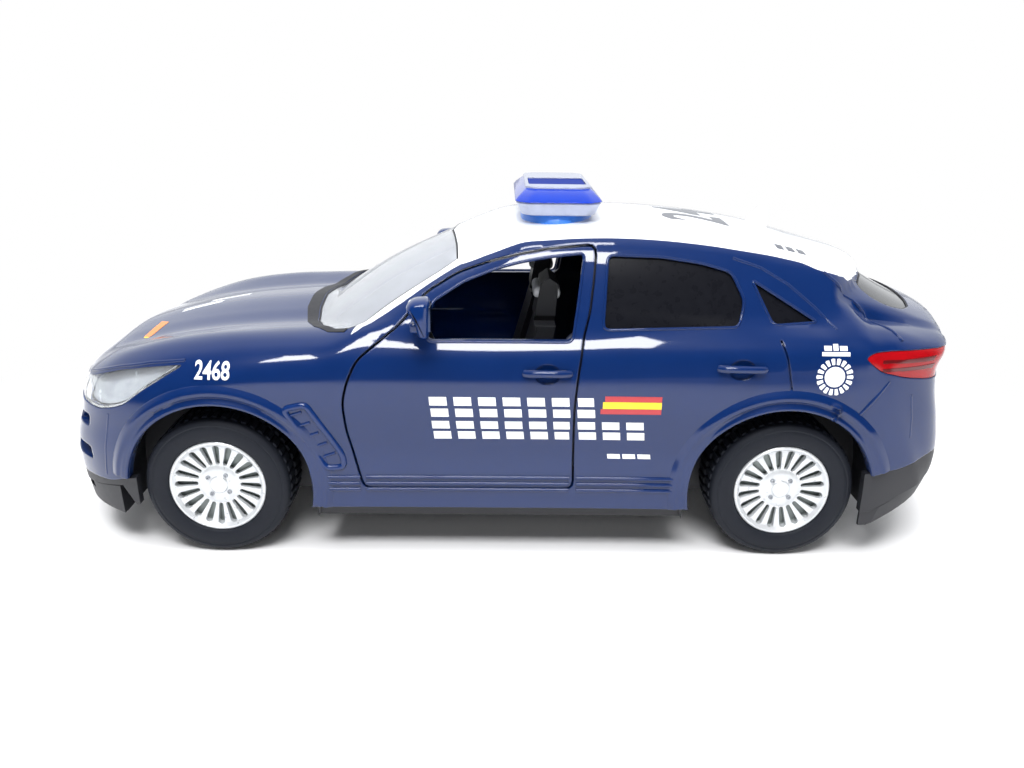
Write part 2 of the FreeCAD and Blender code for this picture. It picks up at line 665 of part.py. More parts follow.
def add_hub(name, x, side):
    """A hub turned about the axle, with a ring of long slots cut between its spokes."""
    body = new_body(name)
    sketch = sketch_on(body, name + "_section", "XY_Plane")
    ax = size("axle_radius")
    points = [(ax, 1.6), (0.0, 1.6), (0.0, 0.6), (2.5, 0.9), (HUB_R - 0.8, 0.6), (HUB_R, 0.3),
              (HUB_R, TYRE_W - 0.6), (HUB_R - 0.6, TYRE_W - 0.6), (HUB_R - 0.6, 2.0), (2.2, 2.0),
              (2.2, TYRE_W - 1.4), (ax, TYRE_W - 1.4)]
    outline(sketch, points, {
        0: ("x", "Sizes.axle_radius"),
        5: ("x", "Sizes.hub_radius"),
        6: ("x", "Sizes.hub_radius"),
        7: ("x", "Sizes.hub_radius - 0.6"),
        8: ("x", "Sizes.hub_radius - 0.6"),
        11: ("x", "Sizes.axle_radius"),
    })
    turned = body.newObject("PartDesign::Revolution", name + "_turned")
    turned.Profile = sketch
    turned.ReferenceAxis = (sketch, ["V_Axis"])
    turned.Angle = 360.0
    slot = sketch_on(body, name + "_slot", "XZ_Plane")
    outline(slot, [(2.8, -0.17), (HUB_R - 1.0, -0.34), (HUB_R - 1.0, 0.34), (2.8, 0.17)])
    cut = body.newObject("PartDesign::Pocket", name + "_slot_cut")
    cut.Profile = slot
    cut.Length = 8.0
    cut.SideType = "Symmetric"
    ring = body.newObject("PartDesign::PolarPattern", name + "_slots")
    ring.Originals = [cut]
    ring.Axis = (slot, ["N_Axis"])
    ring.Angle = 360.0
    ring.Occurrences = int(size("hub_slots"))
    ring.setExpression("Occurrences", "Sizes.hub_slots")
    body.Tip = ring
    angle = 180.0 if side > 0 else 0.0
    body.Placement = FreeCAD.Placement(V(x, side * WHEEL_FACE, AXLE_Z), FreeCAD.Rotation(V(0, 0, 1), angle))
    return body


for end, x in (("front", WHEEL_X), ("rear", -WHEEL_X)):
    for hand, side in (("left", 1), ("right", -1)):
        add_tyre("tyre_%s_%s" % (end, hand), x, side)
        add_hub("hub_%s_%s" % (end, hand), x, side)
    axle = new_body("axle_" + end)
    ring = sketch_on(axle, "axle_%s_section" % end, "XZ_Plane")
    circle(ring, 0.0, 0.0, size("axle_radius"), "Sizes.axle_radius")
    axle.Tip = pad(axle, ring, "axle_%s_rod" % end, 2 * (WHEEL_FACE - 1.6),
                   "Sizes.body_width - 2 * Sizes.wheel_tuck - 3.2", True)
    axle.Placement = FreeCAD.Placement(V(x, 0, AXLE_Z), FreeCAD.Rotation())


# black base with wheel wells

WELL_BACK = WHEEL_FACE - TYRE_W - 1.4
WELL_FACE = WHEEL_FACE - 0.8
WELL_R = ARCH + 1.7


def rod_posts(x):
    """Two bearing posts for one axle."""
    rise = AXLE_Z + 2.7 - FLOOR - 0.2
    posts = []
    for y in (-WELL_BACK + 0.8, WELL_BACK - 2.8):
        posts.append(Part.makeBox(4.4, 2.0, rise, V(x - 2.2, y, FLOOR + 0.2)))
    return posts


base_block = xz_prism(grown(BASE_SPLIT, -0.06), -40, 40).common(form_at(0.15))
cut_x = sx(46.0)
pan_x = sx(47.0)
well_x = WHEEL_X - ARCH + 0.1
ends = base_block.cut(xz_prism([(-cut_x, -6), (-cut_x, 20), (cut_x, 20), (cut_x, -6)], -40, 40))
pan_plan = both_sides([(pan_x, 0.0), (pan_x, sy(18.6)), (well_x, sy(18.6)), (well_x, sy(20.9)), (-well_x, sy(20.9)),
                       (-well_x, sy(18.6)), (-pan_x, sy(18.6)), (-pan_x, 0.0)])
pan = xy_prism(pan_plan, FLOOR, TOP)
under = xz_prism([(sx(-70), -5), (sx(-70), FLOOR + 5.6), (sx(-58.5), FLOOR + 5.0), (-pan_x, FLOOR), (pan_x, FLOOR),
                  (sx(58.0), FLOOR + 0.6), (sx(70), FLOOR + 0.6), (sx(70), -5)], -40, 40)
rear_hollow = xz_prism([(sx(-55.6), 20), (sx(-55.6), FLOOR + 6.4), (sx(-47.5), TOP + 0.1), (sx(-44), TOP + 0.1),
                        (sx(-44), 20)], sy(-18.6), sy(18.6))
front_hollow = xz_prism([(sx(56.0), 20), (sx(56.0), FLOOR + 2.2), (sx(44), TOP + 0.1), (sx(44), 20)], sy(-18.0), sy(18.0))
base = ends.fuse(pan).cut(under).cut(rear_hollow).cut(front_hollow)
for x in (WHEEL_X, -WHEEL_X):
    for side in (1, -1):
        y0 = WELL_BACK if side > 0 else -WELL_FACE
        deep = WELL_FACE - WELL_BACK
        open_y = y0 if side > 0 else y0 - 1.0
        well = y_cylinder(WELL_R, x, AXLE_Z, y0, y0 + deep)
        inside = y_cylinder(WELL_R - 0.8, x, AXLE_Z, open_y, open_y + deep + 1.0)
        inside = inside.fuse(Part.makeBox(2 * WELL_R - 1.6, deep + 1.0, 20.0, V(x - WELL_R + 0.8, open_y, AXLE_Z - 20.0)))
        wall_y = WELL_BACK - 0.7 if side > 0 else -WELL_BACK
        wall = y_cylinder(WELL_R, x, AXLE_Z, wall_y, wall_y + 0.7)
        well = well.cut(inside).fuse(wall)
        well = well.cut(Part.makeBox(40, 60, 20.0, V(x - 20, -30, FLOOR - 20.0))).common(form_at(WALL + 0.04))
        base = base.cut(inside.common(xy_prism([(-70, -30), (70, -30), (70, 30), (-70, 30)], -5, 30)))
        base = base.fuse(well)
for x in (WHEEL_X, -WHEEL_X):
    for post in rod_posts(x):
        base = base.fuse(post)
    base = base.cut(y_cylinder(size("axle_radius") + size("bearing_slack"), x, AXLE_Z, -30, 30))
base = base.cut(casting)
pieces["base"] = place("base", base)

# cabin: tub, seats, dashboard, steering wheel

tub = new_body("cabin_tub")
plan = sketch_on(tub, "tub_plan", "XY_Plane", TOP)
outline(plan, plan_of([(22.0, -17.2), (22.0, 17.2), (-22.4, 17.2), (-22.4, 12.0), (-28.0, 12.0), (-28.0, -12.0),
                       (-22.4, -12.0), (-22.4, -17.2)]))
pad(tub, plan, "tub_floor", size("tub_floor") - TOP, "Sizes.tub_floor - Sizes.floor_height - Sizes.floor_thick")
tunnel = sketch_on(tub, "tunnel_section", "XZ_Plane")
TUB = size("tub_floor")
outline(tunnel, [(sx(12.0), TUB - 1.2), (sx(12.0), TUB + 4.4), (sx(-6.0), TUB + 5.4), (sx(-11.8), TUB + 4.4), (sx(-11.8), TUB - 1.2)])
tub.Tip = pad(tub, tunnel, "tunnel", 5.6, None, True)

SEAT = [(6.0, 0.0), (6.0, 2.0), (7.4, 2.4), (8.2, 5.6), (7.2, 7.0), (-0.6, 6.3), (-4.4, 20.0), (-4.1, 20.8), (-4.9, 25.6),
        (-6.0, 26.4), (-7.2, 25.6), (-6.8, 20.2), (-4.2, 4.4), (-3.6, 2.0), (-3.0, 0.0)]
for hand, side in (("left", 1), ("right", -1)):
    seat = new_body("seat_front_" + hand)
    profile = sketch_on(seat, "seat_profile_" + hand, "XZ_Plane")
    outline(profile, SEAT)
    pad(seat, profile, "seat_block_" + hand, size("seat_width"), "Sizes.seat_width", True)
    notch = sketch_on(seat, "seat_notch_" + hand, "YZ_Plane", -12.0)
    outline(notch, [(2.6, 20.6), (9.0, 20.6), (9.0, 32.0), (3.2, 32.0), (3.2, 21.4)])
    cut = seat.newObject("PartDesign::Pocket", "seat_notch_cut_" + hand)
    cut.Profile = notch
    cut.Length = 24.0
    cut.Reversed = True
    twin = seat.newObject("PartDesign::Mirrored", "seat_notches_" + hand)
    twin.Originals = [cut]
    twin.MirrorPlane = (plane_of(seat, "XZ_Plane"), [""])
    seat.Tip = twin
    seat.Placement = FreeCAD.Placement(V(0, side * size("seat_offset"), size("tub_floor")), FreeCAD.Rotation())

rear_seat = new_body("seat_rear")
profile = sketch_on(rear_seat, "rear_seat_profile", "XZ_Plane")
outline(profile, [(sx(x), TUB + z) for x, z in [(-12.6, 0.0), (-12.2, 5.2), (-13.4, 6.4), (-20.0, 6.0), (-24.8, 21.4),
                                                (-26.6, 22.0), (-27.4, 21.4), (-27.4, 0.0)]])
rear_seat.Tip = pad(rear_seat, profile, "rear_seat_block", 23.8, None, True)

dash = new_body("dashboard")
profile = sketch_on(dash, "dash_profile", "XZ_Plane")
DASH_X = sx(21.4)
outline(profile, [(DASH_X + x, TUB + z) for x, z in [(0.0, 0.0), (0.0, 16.4), (-4.8, 18.7), (-8.2, 19.0), (-8.8, 18.0),
                                                     (-6.73, 16.09), (-7.85, 13.97), (-6.8, 10.8), (-3.8, 0.0)]])
dash.Tip = pad(dash, profile, "dash_block", 34.0, None, True)

rim = new_body("steering_wheel")
section = sketch_on(rim, "rim_section", "XZ_Plane")
r = size("wheel_rim_radius")
outline(section, [(r - 0.5, -0.2), (r - 0.2, -0.5), (r + 0.2, -0.5), (r + 0.5, -0.2), (r + 0.5, 0.2), (r + 0.2, 0.5), (r - 0.2, 0.5),
                  (r - 0.5, 0.2)])
turned = rim.newObject("PartDesign::Revolution", "rim_ring")
turned.Profile = section
turned.ReferenceAxis = (section, ["V_Axis"])
turned.Angle = 360.0
spokes = sketch_on(rim, "rim_spokes", "XY_Plane")
outline(spokes, [(-3.7, -0.9), (3.7, -0.9), (3.7, 0.4), (1.3, 1.1), (1.3, 3.7), (-1.3, 3.7), (-1.3, 1.1), (-3.7, 0.4)])
pad(rim, spokes, "rim_spoke_pad", 0.7, None, True)
column = sketch_on(rim, "rim_column", "XY_Plane", -4.2)
circle(column, 0.0, 0.0, 0.9)
rim.Tip = pad(rim, column, "rim_column_pad", 4.3)
rim.Placement = FreeCAD.Placement(V(DASH_X - 11.0, size("seat_offset"), TUB + 17.0), FreeCAD.Rotation(V(0, 1, 0), -62.0))

motor = new_body("motor_housing")
plan = sketch_on(motor, "motor_plan", "XY_Plane", TOP)
outline(plan, [(-WHEEL_X + 7.0, -9.0), (-WHEEL_X + 7.0, 9.0), (-WHEEL_X - 9.5, 9.0), (-WHEEL_X - 9.5, -9.0)])
pad(motor, plan, "motor_block", 10.0)
hole = sketch_on(motor, "motor_bore", "XZ_Plane")
circle(hole, -WHEEL_X, AXLE_Z, size("axle_radius") + 0.5)
cut = motor.newObject("PartDesign::Pocket", "motor_bore_cut")
cut.Profile = hole
cut.Length = 40.0
cut.SideType = "Symmetric"
motor.Tip = cut

# roof light bar and antenna

def bar_section(length, width, z, bevel):
    """A flat octagon, longer across the car than along it."""
    a = width / 2.0
    b = length / 2.0
    return [V(BAR_X + x, y, z) for x, y in [(a, b - bevel), (a - bevel, b), (-a + bevel, b), (-a, b - bevel),
                                            (-a, -b + bevel), (-a + bevel, -b), (a - bevel, -b), (a, -b + bevel)]]


def bar_loft(rows):
    wires = [Part.makePolygon(ring + [ring[0]]) for ring in rows]
    return Part.makeLoft(wires, True, True)


LONG = size("bar_length")
WIDE = size("bar_width")
BAR_FOOT = CROWN_Z + size("bar_gap")
BAR_WAIST = BAR_FOOT + size("bar_base_rise")
BAR_TOP = BAR_WAIST + size("bar_lens_rise")
BAR_X = size("bar_middle_x")
low_bar = bar_loft([
    bar_section(LONG - 2.6, WIDE - 2.2, BAR_FOOT, 1.2),
    bar_section(LONG, WIDE, BAR_WAIST, 1.5),
])
foot = Part.makeBox(6.0, 16.0, 3.0, V(BAR_X - 3.0, -8.0, BAR_FOOT - 2.6))
low_bar = low_bar.fuse(foot.cut(form_at(0.0)))
top_bar = bar_loft([
    bar_section(LONG, WIDE, BAR_WAIST, 1.5),
    bar_section(LONG - 2.4, WIDE - 2.8, BAR_TOP - 0.25, 1.2),
    bar_section(LONG - 3.2, WIDE - 3.6, BAR_TOP, 1.0),
])
pieces["light_bar_base"] = place("light_bar_base", low_bar)
pieces["light_bar_lens"] = place("light_bar_lens", top_bar)

fin_x = sx(-33.0)
fin_z = sz(39.0)
fin_side = [(fin_x, fin_z), (fin_x - 2.6, fin_z + 3.2), (fin_x - 3.6, fin_z + 3.2), (fin_x - 3.8, fin_z)]
fin = xz_prism(fin_side, -0.5, 0.5)
fin = fin.cut(form_at(0.0))
pieces["antenna_fin"] = place("antenna_fin", fin)

# door mirrors

MIRROR = elevation([(11.6, 34.7), (8.4, 34.9), (8.4, 31.4), (9.0, 30.2), (11.0, 30.0), (11.3, 31.4)])


def mirror_ring(by, y):
    """The mirror head's outline at one distance from the middle."""
    ring = [V(x, y, z) for x, z in grown(MIRROR, by)]
    return Part.makePolygon(ring + [ring[0]])


MIRROR_Y = sy(22.6)
head = Part.makeLoft([mirror_ring(-0.7, MIRROR_Y - 0.2), mirror_ring(0.0, MIRROR_Y + 1.0),
                      mirror_ring(-0.05, MIRROR_Y + 3.2), mirror_ring(-0.6, MIRROR_Y + 4.0)], True, True)
arm = xz_prism(elevation([(11.4, 30.0), (9.0, 30.0), (9.0, 31.6), (11.2, 31.6)]), sy(18.0), MIRROR_Y + 0.4)
mirror = head.fuse(arm).cut(form_at(0.0))
pieces["mirror_left"] = place("mirror_left", mirror)
pieces["mirror_right"] = place("mirror_right", mirrored(mirror))

# every piece checked and written

doc.recompute()
os.makedirs("parts", exist_ok=True)
for name, piece in pieces.items():
    for state in piece.State:
        if state in ("Invalid", "Error"):
            raise RuntimeError(name + " is " + state)
    shape = piece.Shape
    if shape.isNull() or not shape.isValid() or len(shape.Solids) != 1:
        raise RuntimeError(name + " has no sound solid")
    if shape.Volume <= 0:
        raise RuntimeError(name + " is inside out")
    shape.exportStep("parts/" + name + ".step")
    print("%-20s %9.2f mm3 %6d facets" % (name, shape.Volume, len(shape.tessellate(0.1)[1])))
for item in doc.Objects:
    if "Invalid" in item.State or "Error" in item.State:
        raise RuntimeError(item.Name + " is in error")
print(len(pieces), "pieces")
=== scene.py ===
"""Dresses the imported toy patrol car: smooth castings, wheels, lamps, light bar, marks, stage and camera."""

from __future__ import annotations

import json
import logging
import math
from dataclasses import dataclass, field
from enum import Enum
from typing import Iterable, Sequence

import bpy
import numpy as np
from mathutils import Matrix, Vector

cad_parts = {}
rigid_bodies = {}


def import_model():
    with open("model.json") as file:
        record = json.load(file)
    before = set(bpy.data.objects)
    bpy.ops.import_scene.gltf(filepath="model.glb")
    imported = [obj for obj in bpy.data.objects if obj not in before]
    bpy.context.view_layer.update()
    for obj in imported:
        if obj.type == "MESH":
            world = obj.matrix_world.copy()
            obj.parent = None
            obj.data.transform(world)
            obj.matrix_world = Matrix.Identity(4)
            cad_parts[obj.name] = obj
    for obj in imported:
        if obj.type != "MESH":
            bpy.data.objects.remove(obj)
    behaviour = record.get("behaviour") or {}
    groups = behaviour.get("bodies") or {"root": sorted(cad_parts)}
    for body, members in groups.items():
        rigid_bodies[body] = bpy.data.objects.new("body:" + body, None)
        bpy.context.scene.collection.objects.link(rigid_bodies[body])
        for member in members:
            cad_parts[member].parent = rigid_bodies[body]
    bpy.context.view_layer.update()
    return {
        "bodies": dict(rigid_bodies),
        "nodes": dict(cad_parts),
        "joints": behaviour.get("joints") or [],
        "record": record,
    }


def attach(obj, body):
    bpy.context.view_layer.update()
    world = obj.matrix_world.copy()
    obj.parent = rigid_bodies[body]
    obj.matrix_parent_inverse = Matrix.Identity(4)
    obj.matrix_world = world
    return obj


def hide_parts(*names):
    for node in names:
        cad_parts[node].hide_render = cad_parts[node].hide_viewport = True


logging.basicConfig(level=logging.INFO, format="%(message)s")
log = logging.getLogger("toy")

Point2 = tuple[float, float]
Point3 = tuple[float, float, float]
Array = np.ndarray

# Lengths are in millimetres, and MM turns them into metres.
MM = 0.001
WHEEL_X = 36.0
AXLE_Z = 9.3
ARCH_X = 35.3
ARCH_R = 11.6
CORE_Y = 6.0  # where rays to a side of the car start
UNDERSIDE = -3.0  # where the form is closed below
FORM_STEPS = 22  # halvings of a ray in a search for one depth
RAY_STEPS = 17  # halvings of a ray in a lattice
SLOPE_STEP = 0.05  # half the span over which a lattice reads the paint's slope
PANE_GAP = 0.03  # between a pane and its opening
LAMP_GAP = 0.05  # between a lamp and its opening
COAT_ROUGHNESS = 0.03


class Side(Enum):
    """The two sides of the car, as the sign of Y."""

    LEFT = 1
    RIGHT = -1

    @property
    def word(self) -> str:
        """The word used in piece names."""
        return "left" if self is Side.LEFT else "right"


class Keep(Enum):
    """What a cutter does to a piece."""

    OUTSIDE = "DIFFERENCE"
    INSIDE = "INTERSECT"


# Smooth form of the casting.


def read_curve(knots: Array, values: Array, at: Array, smooth: bool = True) -> Array:
    """Reads a curve through knots, running straight on past its ends.

    Args:
        knots: rising positions, one row for all points or one row a point.
        values: the curve's value at each knot, in the same layout.
        at: where to read it.
        smooth: False joins the knots with straight runs.

    Returns:
        The values at those places.
    """
    at = np.asarray(at, float).ravel()
    knots = np.atleast_2d(np.asarray(knots, float))
    values = np.atleast_2d(np.asarray(values, float))
    count = knots.shape[1]
    knots = np.broadcast_to(knots, (len(at), count))
    values = np.broadcast_to(values, (len(at), count))
    run = np.diff(knots, axis=1)
    rise = np.diff(values, axis=1) / run
    index = np.clip((at[:, None] >= knots).sum(axis=1) - 1, 0, count - 2)
    rows = np.arange(len(at))
    step = run[rows, index]
    part = (at - knots[rows, index]) / step
    start, end = values[rows, index], values[rows, index + 1]
    if not smooth:
        return start + (end - start) * part
    slope = np.empty((len(at), count))
    slope[:, 1:-1] = (rise[:, :-1] * run[:, 1:] + rise[:, 1:] * run[:, :-1]) / (run[:, 1:] + run[:, :-1])
    slope[:, 0] = rise[:, 0]
    slope[:, -1] = rise[:, -1]
    first, last = slope[rows, index] * step, slope[rows, index + 1] * step
    inner = np.clip(part, 0.0, 1.0)
    square, cube = inner**2, inner**3
    value = (2 * cube - 3 * square + 1) * start + (cube - 2 * square + inner) * first
    value += (3 * square - 2 * cube) * end + (cube - square) * last
    value += np.where(part < 0, part * first, 0.0) + np.where(part > 1, (part - 1) * last, 0.0)
    return value


def soft_low(a: Array, b: Array, radius: float | Array) -> Array:
    """The lower of two fields, rounded where they meet."""
    near = np.clip(radius - np.abs(a - b), 0.0, None) / radius
    return np.minimum(a, b) - near * near * radius / 4


def soft_high(a: Array, b: Array, radius: float | Array) -> Array:
    """The higher of two fields, filled where they meet."""
    return -soft_low(-a, -b, radius)


@dataclass(frozen=True)
class CastForm:
    """The outer form of the casting in millimetres: positive inside, zero on the paint.

    Each table is a curve's knots. The caps are the half widths at which the tables across the car end, and the
    blends are the widths over which two surfaces are rounded into each other.
    """

    side: tuple = (
        (-62, 22.6, 22.4, 22.8, 21.2, 19.4, 28.6, 30.4),
        (-50, 23.0, 22.8, 23.3, 21.9, 20.2, 28.8, 30.4),
        (-36, 23.4, 23.1, 23.6, 22.0, 20.6, 28.9, 30.2),
        (-20, 22.9, 22.4, 23.1, 21.8, 20.6, 28.1, 29.6),
        (0, 22.8, 22.2, 23.0, 21.8, 20.6, 27.4, 29.0),
        (20, 22.9, 22.5, 23.1, 22.0, 20.7, 27.0, 28.9),
        (36, 23.4, 23.2, 23.6, 22.2, 20.4, 26.6, 28.6),
        (48, 23.2, 23.0, 23.4, 21.8, 19.8, 26.0, 28.2),
        (62, 22.8, 22.6, 23.0, 21.2, 19.2, 25.4, 28.0),
    )
    nose_back: tuple = ((0, 0), (6, 0.25), (9, 0.6), (11, 1.05), (14.5, 2.1), (18, 4.4), (21, 8.4), (23, 12.8),
                        (25, 19))
    tail_back: tuple = ((0, 0), (6, 0.15), (11, 0.55), (14.5, 0.95), (18, 1.7), (21, 4.0), (23, 8.5), (25, 15))
    nose: tuple = ((3, 57), (6, 57.8), (10.6, 58.5), (13.9, 58.4), (16.9, 57.5), (19.7, 56.9), (22, 55.9),
                   (23.6, 54.2))
    tail: tuple = ((3, -56.8), (9, -57.5), (12, -58.4), (14.5, -58.5), (18.6, -57.9), (23, -57.0), (25.2, -56.9),
                   (27.6, -57.7), (29.4, -58.0))
    hood_middle: tuple = ((23.5, 29.4), (30, 28.9), (38, 28.1), (44, 27.1), (48.2, 26.1), (52, 24.8), (54.2, 23.6))
    hood_crest: tuple = ((21.9, 28.9), (27.5, 28.6), (34, 28.3), (40.5, 27.4), (43.5, 26.6), (46.6, 25.4),
                         (49.8, 23.6))
    hood_drop: tuple = ((0, 0), (6, 0.35), (11, 0.75), (14.5, 0.35), (18, 0), (21, 0.9), (23, 2.4), (25, 5))
    tail_drop: tuple = ((0, 0), (11, 0.3), (14.5, 0.5), (18, 0.9), (21, 2.0), (23, 3.6), (25, 6))
    cabin_width: tuple = ((26, 20.9), (29.3, 20.55), (31.5, 19.7), (34, 18.6), (36.5, 17.4), (38.8, 16.1), (41, 14.6))
    cabin_narrow: tuple = ((-62, 5), (-54, 4.4), (-46, 3.2), (-38, 1.9), (-30, 0.9), (-20, 0.25), (-6, 0), (8, 0.15),
                           (22, 0.6), (34, 1.2))
    screen_back: tuple = ((0, 0), (6, 0.45), (11, 1.6), (14, 2.9), (16.5, 4.6), (19, 7.0), (21, 9.6))
    header_back: tuple = ((0, 0), (6, 0.35), (11, 1.4), (14, 2.5), (16.5, 3.9), (19, 5.6), (21, 7.2))
    crown: tuple = ((0, 0), (6, 0.15), (11, 0.6), (14, 1.1), (16.5, 1.75), (19, 2.9), (21, 4.4))
    spoiler_back: tuple = ((0, 0), (6, 0.5), (11, 2.2), (14, 4.0), (16.5, 6.2))
    glass_back: tuple = ((0, 0), (6, 0.6), (11, 2.3), (14, 4.2), (16.5, 6.4))
    roof: tuple = ((-41.5, 38.1), (-35, 39.8), (-28, 40.9), (-20, 41.6), (-12, 41.8), (-5, 41.6), (0.6, 41.0),
                   (4.0, 39.9))
    body_cap: float = 25.0
    cabin_cap: float = 21.0
    rear_cap: float = 16.5
    crest_back: float = 4.4
    belt_blend: float = 1.4
    end_blend: float = 0.5
    nose_blend: float = 1.6
    roof_blend: float = 1.5
    glass_blend: float = 0.4
    cabin_blend: float = 0.7
    foot_blend: float = 0.35
    deck_blend: float = 4.0

    def _read(self, rows: tuple, at: Array, column: int = 1, cap: float = 99.0) -> Array:
        """Reads one column of a table, held level below its first row, or even about the middle."""
        data = np.array(rows, float)
        low = data[0, 0]
        if low == 0:
            data = np.vstack([data[1] * np.array([-1.0, 1.0]), data])
        return read_curve(data[:, 0], data[:, column], np.clip(at, low, cap))

    def field(self, p: Array) -> Array:
        """The raw field at points p, an array of rows of x, y, z."""
        x, y, z = p[:, 0], np.abs(p[:, 1]), p[:, 2]
        column = [self._read(self.side, x, i) for i in range(1, 8)]
        sill, tuck, wide, shoulder, belt, z_shoulder, z_belt = column
        ones = np.ones_like(x)
        knots = np.stack([3 * ones, 7 * ones, 10.5 * ones, 13.8 * ones, 21.5 * ones, 24.8 * ones, z_shoulder - 0.2,
                          z_shoulder + 0.3, z_belt, 35 * ones], 1)
        slope = (belt - shoulder) / (z_belt - z_shoulder)
        widths = np.stack([sill, sill, (sill + tuck) / 2 + 0.1, tuck, wide, wide - 0.35, shoulder + 0.1,
                           shoulder + slope * 0.3, belt, belt - 2.0], 1)
        side = read_curve(knots, widths, z) - y
        back = self._read(self.nose_back, y, cap=self.body_cap)
        nose = read_curve(np.array(self.nose)[:, 0], np.array(self.nose)[:, 1], z) - back - x
        tail_back = self._read(self.tail_back, y, cap=self.body_cap)
        tail = x - read_curve(np.array(self.tail)[:, 0], np.array(self.tail)[:, 1], z) - tail_back
        share = np.clip(back / self.crest_back, 0, 1)
        beyond = np.clip(back - self.crest_back, 0, None)
        drop = self._read(self.hood_drop, y, cap=self.body_cap)
        fall = self._read(self.tail_drop, y, cap=self.body_cap)
        kx = [-58.0 + tail_back, -48 * ones, -40 * ones, 16 * ones]
        kz = [29.4 - fall, 30.5 - 0.3 * fall, 30.6 * ones, 30.3 * ones]
        for i, ((xm, zm), (xc, zc)) in enumerate(zip(self.hood_middle, self.hood_crest)):
            kx.append(xm + (xc - xm) * share - beyond * (i / 6.0))
            kz.append(zm + (zc - zm) * share - drop * min(1.0, 0.35 + (6 - i) * 0.3))
        top = read_curve(np.stack(kx, 1), np.stack(kz, 1), x) - z
        ends = soft_low(nose, tail, self.end_blend)
        lower = soft_low(soft_low(side, top, self.belt_blend), ends, self.nose_blend)
        narrow = self._read(self.cabin_narrow, x)
        cabin_side = self._read(self.cabin_width, z) - narrow * np.clip(z - 28, 0, None) / 10 - y
        crown = self._read(self.crown, y, cap=self.cabin_cap)
        header = self._read(self.header_back, y, cap=self.cabin_cap)
        screen = self._read(self.screen_back, y, cap=self.cabin_cap)
        tip_back = self._read(self.spoiler_back, y, cap=self.rear_cap)
        glass_back = self._read(self.glass_back, y, cap=self.rear_cap)
        kx = [-48.6 + tip_back]
        kz = [36.3 - crown]
        for i, (xr, zr) in enumerate(self.roof):
            kx.append(xr - header * max(0.0, 1 - (7 - i) / 4))
            kz.append(zr - crown)
        kx.append(7.3 - header)
        kz.append(38.6 - crown)
        roof = (read_curve(np.stack(kx, 1), np.stack(kz, 1), x) - z) * 0.93
        kz = np.stack([26 * ones, 34.2 - crown * 0.3, 38.7 - crown], 1)
        kx = np.stack([28.6 - screen, 16.2 - (screen + header) / 2, 7.1 - header], 1)
        windscreen = (read_curve(kz, kx, z) - x) * 0.47
        kz = np.stack([26 * ones, 29.8 * ones, 35.2 - crown, 36.3 - crown], 1)
        kx = np.stack([-57.2 + glass_back, -56.2 + glass_back, -48 + tip_back, -48.15 + tip_back], 1)
        rear = (x - read_curve(kz, kx, z, smooth=False)) * 0.62
        ends = soft_low(windscreen, rear, self.glass_blend)
        cabin = soft_low(soft_low(cabin_side, roof, self.roof_blend), ends, self.cabin_blend)
        return soft_high(lower, cabin, self.foot_blend + self.deck_blend * np.clip((-x - 39.0) / 6.0, 0, 1))

    def depth(self, p: Array) -> Array:
        """The depth of points p below the paint, in millimetres."""
        value = self.field(p)
        step = 0.02
        slope = np.zeros_like(value)
        for axis in range(3):
            moved = p.copy()
            moved[:, axis] += step
            slope += ((self.field(moved) - value) / step) ** 2
        return value / np.sqrt(np.maximum(slope, 0.04))

    def along(self, start: Array, direction: Array, reach: float, depth: float) -> Array:
        """Finds where rays from inside come to a depth below the paint.

        Args:
            start: a point inside, for each ray.
            direction: a unit direction for each ray.
            reach: how far out every ray is outside.
            depth: the wanted depth, negative for outside the paint.

        Returns:
            The points found.
        """
        low = np.zeros(len(start))
        high = np.full(len(start), reach)
        for _ in range(FORM_STEPS):
            middle = (low + high) / 2
            inside = self.depth(start + direction * middle[:, None]) > depth
            low = np.where(inside, middle, low)
            high = np.where(inside, high, middle)
        return start + direction * ((low + high) / 2)[:, None]

    def on_side(self, points: Sequence[Point2], side: Side, depth: float) -> Array:
        """Places points of X and Z on one side of the car, at a depth below the paint."""
        flat = np.array(points, float)
        start = np.stack([flat[:, 0], np.full(len(flat), CORE_Y) * side.value, flat[:, 1]], 1)
        return self.along(start, np.tile([0.0, side.value, 0.0], (len(flat), 1)), 24.0, depth)

    def on_end(self, points: Sequence[Point2], end: int, depth: float) -> Array:
        """Places points of Y and Z on the nose (end 1) or the tail (end -1), at a depth below the paint."""
        flat = np.array(points, float)
        start = np.stack([np.full(len(flat), 30.0) * end, flat[:, 0], flat[:, 1]], 1)
        return self.along(start, np.tile([float(end), 0.0, 0.0], (len(flat), 1)), 34.0, depth)

    def on_top(self, points: Sequence[Point2], depth: float) -> Array:
        """Places points of X and Y on the roof or the bonnet, at a depth below the paint."""
        flat = np.array(points, float)
        start = np.stack([flat[:, 0], flat[:, 1], np.full(len(flat), 16.0)], 1)
        return self.along(start, np.tile([0.0, 0.0, 1.0], (len(flat), 1)), 40.0, depth)


FORM = CastForm()


# Modelling helpers.


def only(obj: bpy.types.Object) -> None:
    """Selects one object alone and makes it active, in object mode."""
    if bpy.context.object and bpy.context.object.mode != "OBJECT":
        bpy.ops.object.mode_set(mode="OBJECT")
    bpy.ops.object.select_all(action="DESELECT")
    obj.select_set(True)
    bpy.context.view_layer.objects.active = obj


def place(obj: bpy.types.Object) -> bpy.types.Object:
    """Applies an object's place, turn and size to its mesh."""
    only(obj)
    bpy.ops.object.transform_apply(location=True, rotation=True, scale=True)
    return obj


def apply_modifier(obj: bpy.types.Object, kind: str, **values: object) -> None:
    """Adds a modifier with values and applies it.

    Args:
        obj: the piece.
        kind: the modifier's type.
        values: its settings.
    """
    only(obj)
    modifier = obj.modifiers.new(kind.lower(), kind)
    for name, value in values.items():
        setattr(modifier, name, value)
    bpy.ops.object.modifier_apply(modifier=modifier.name)


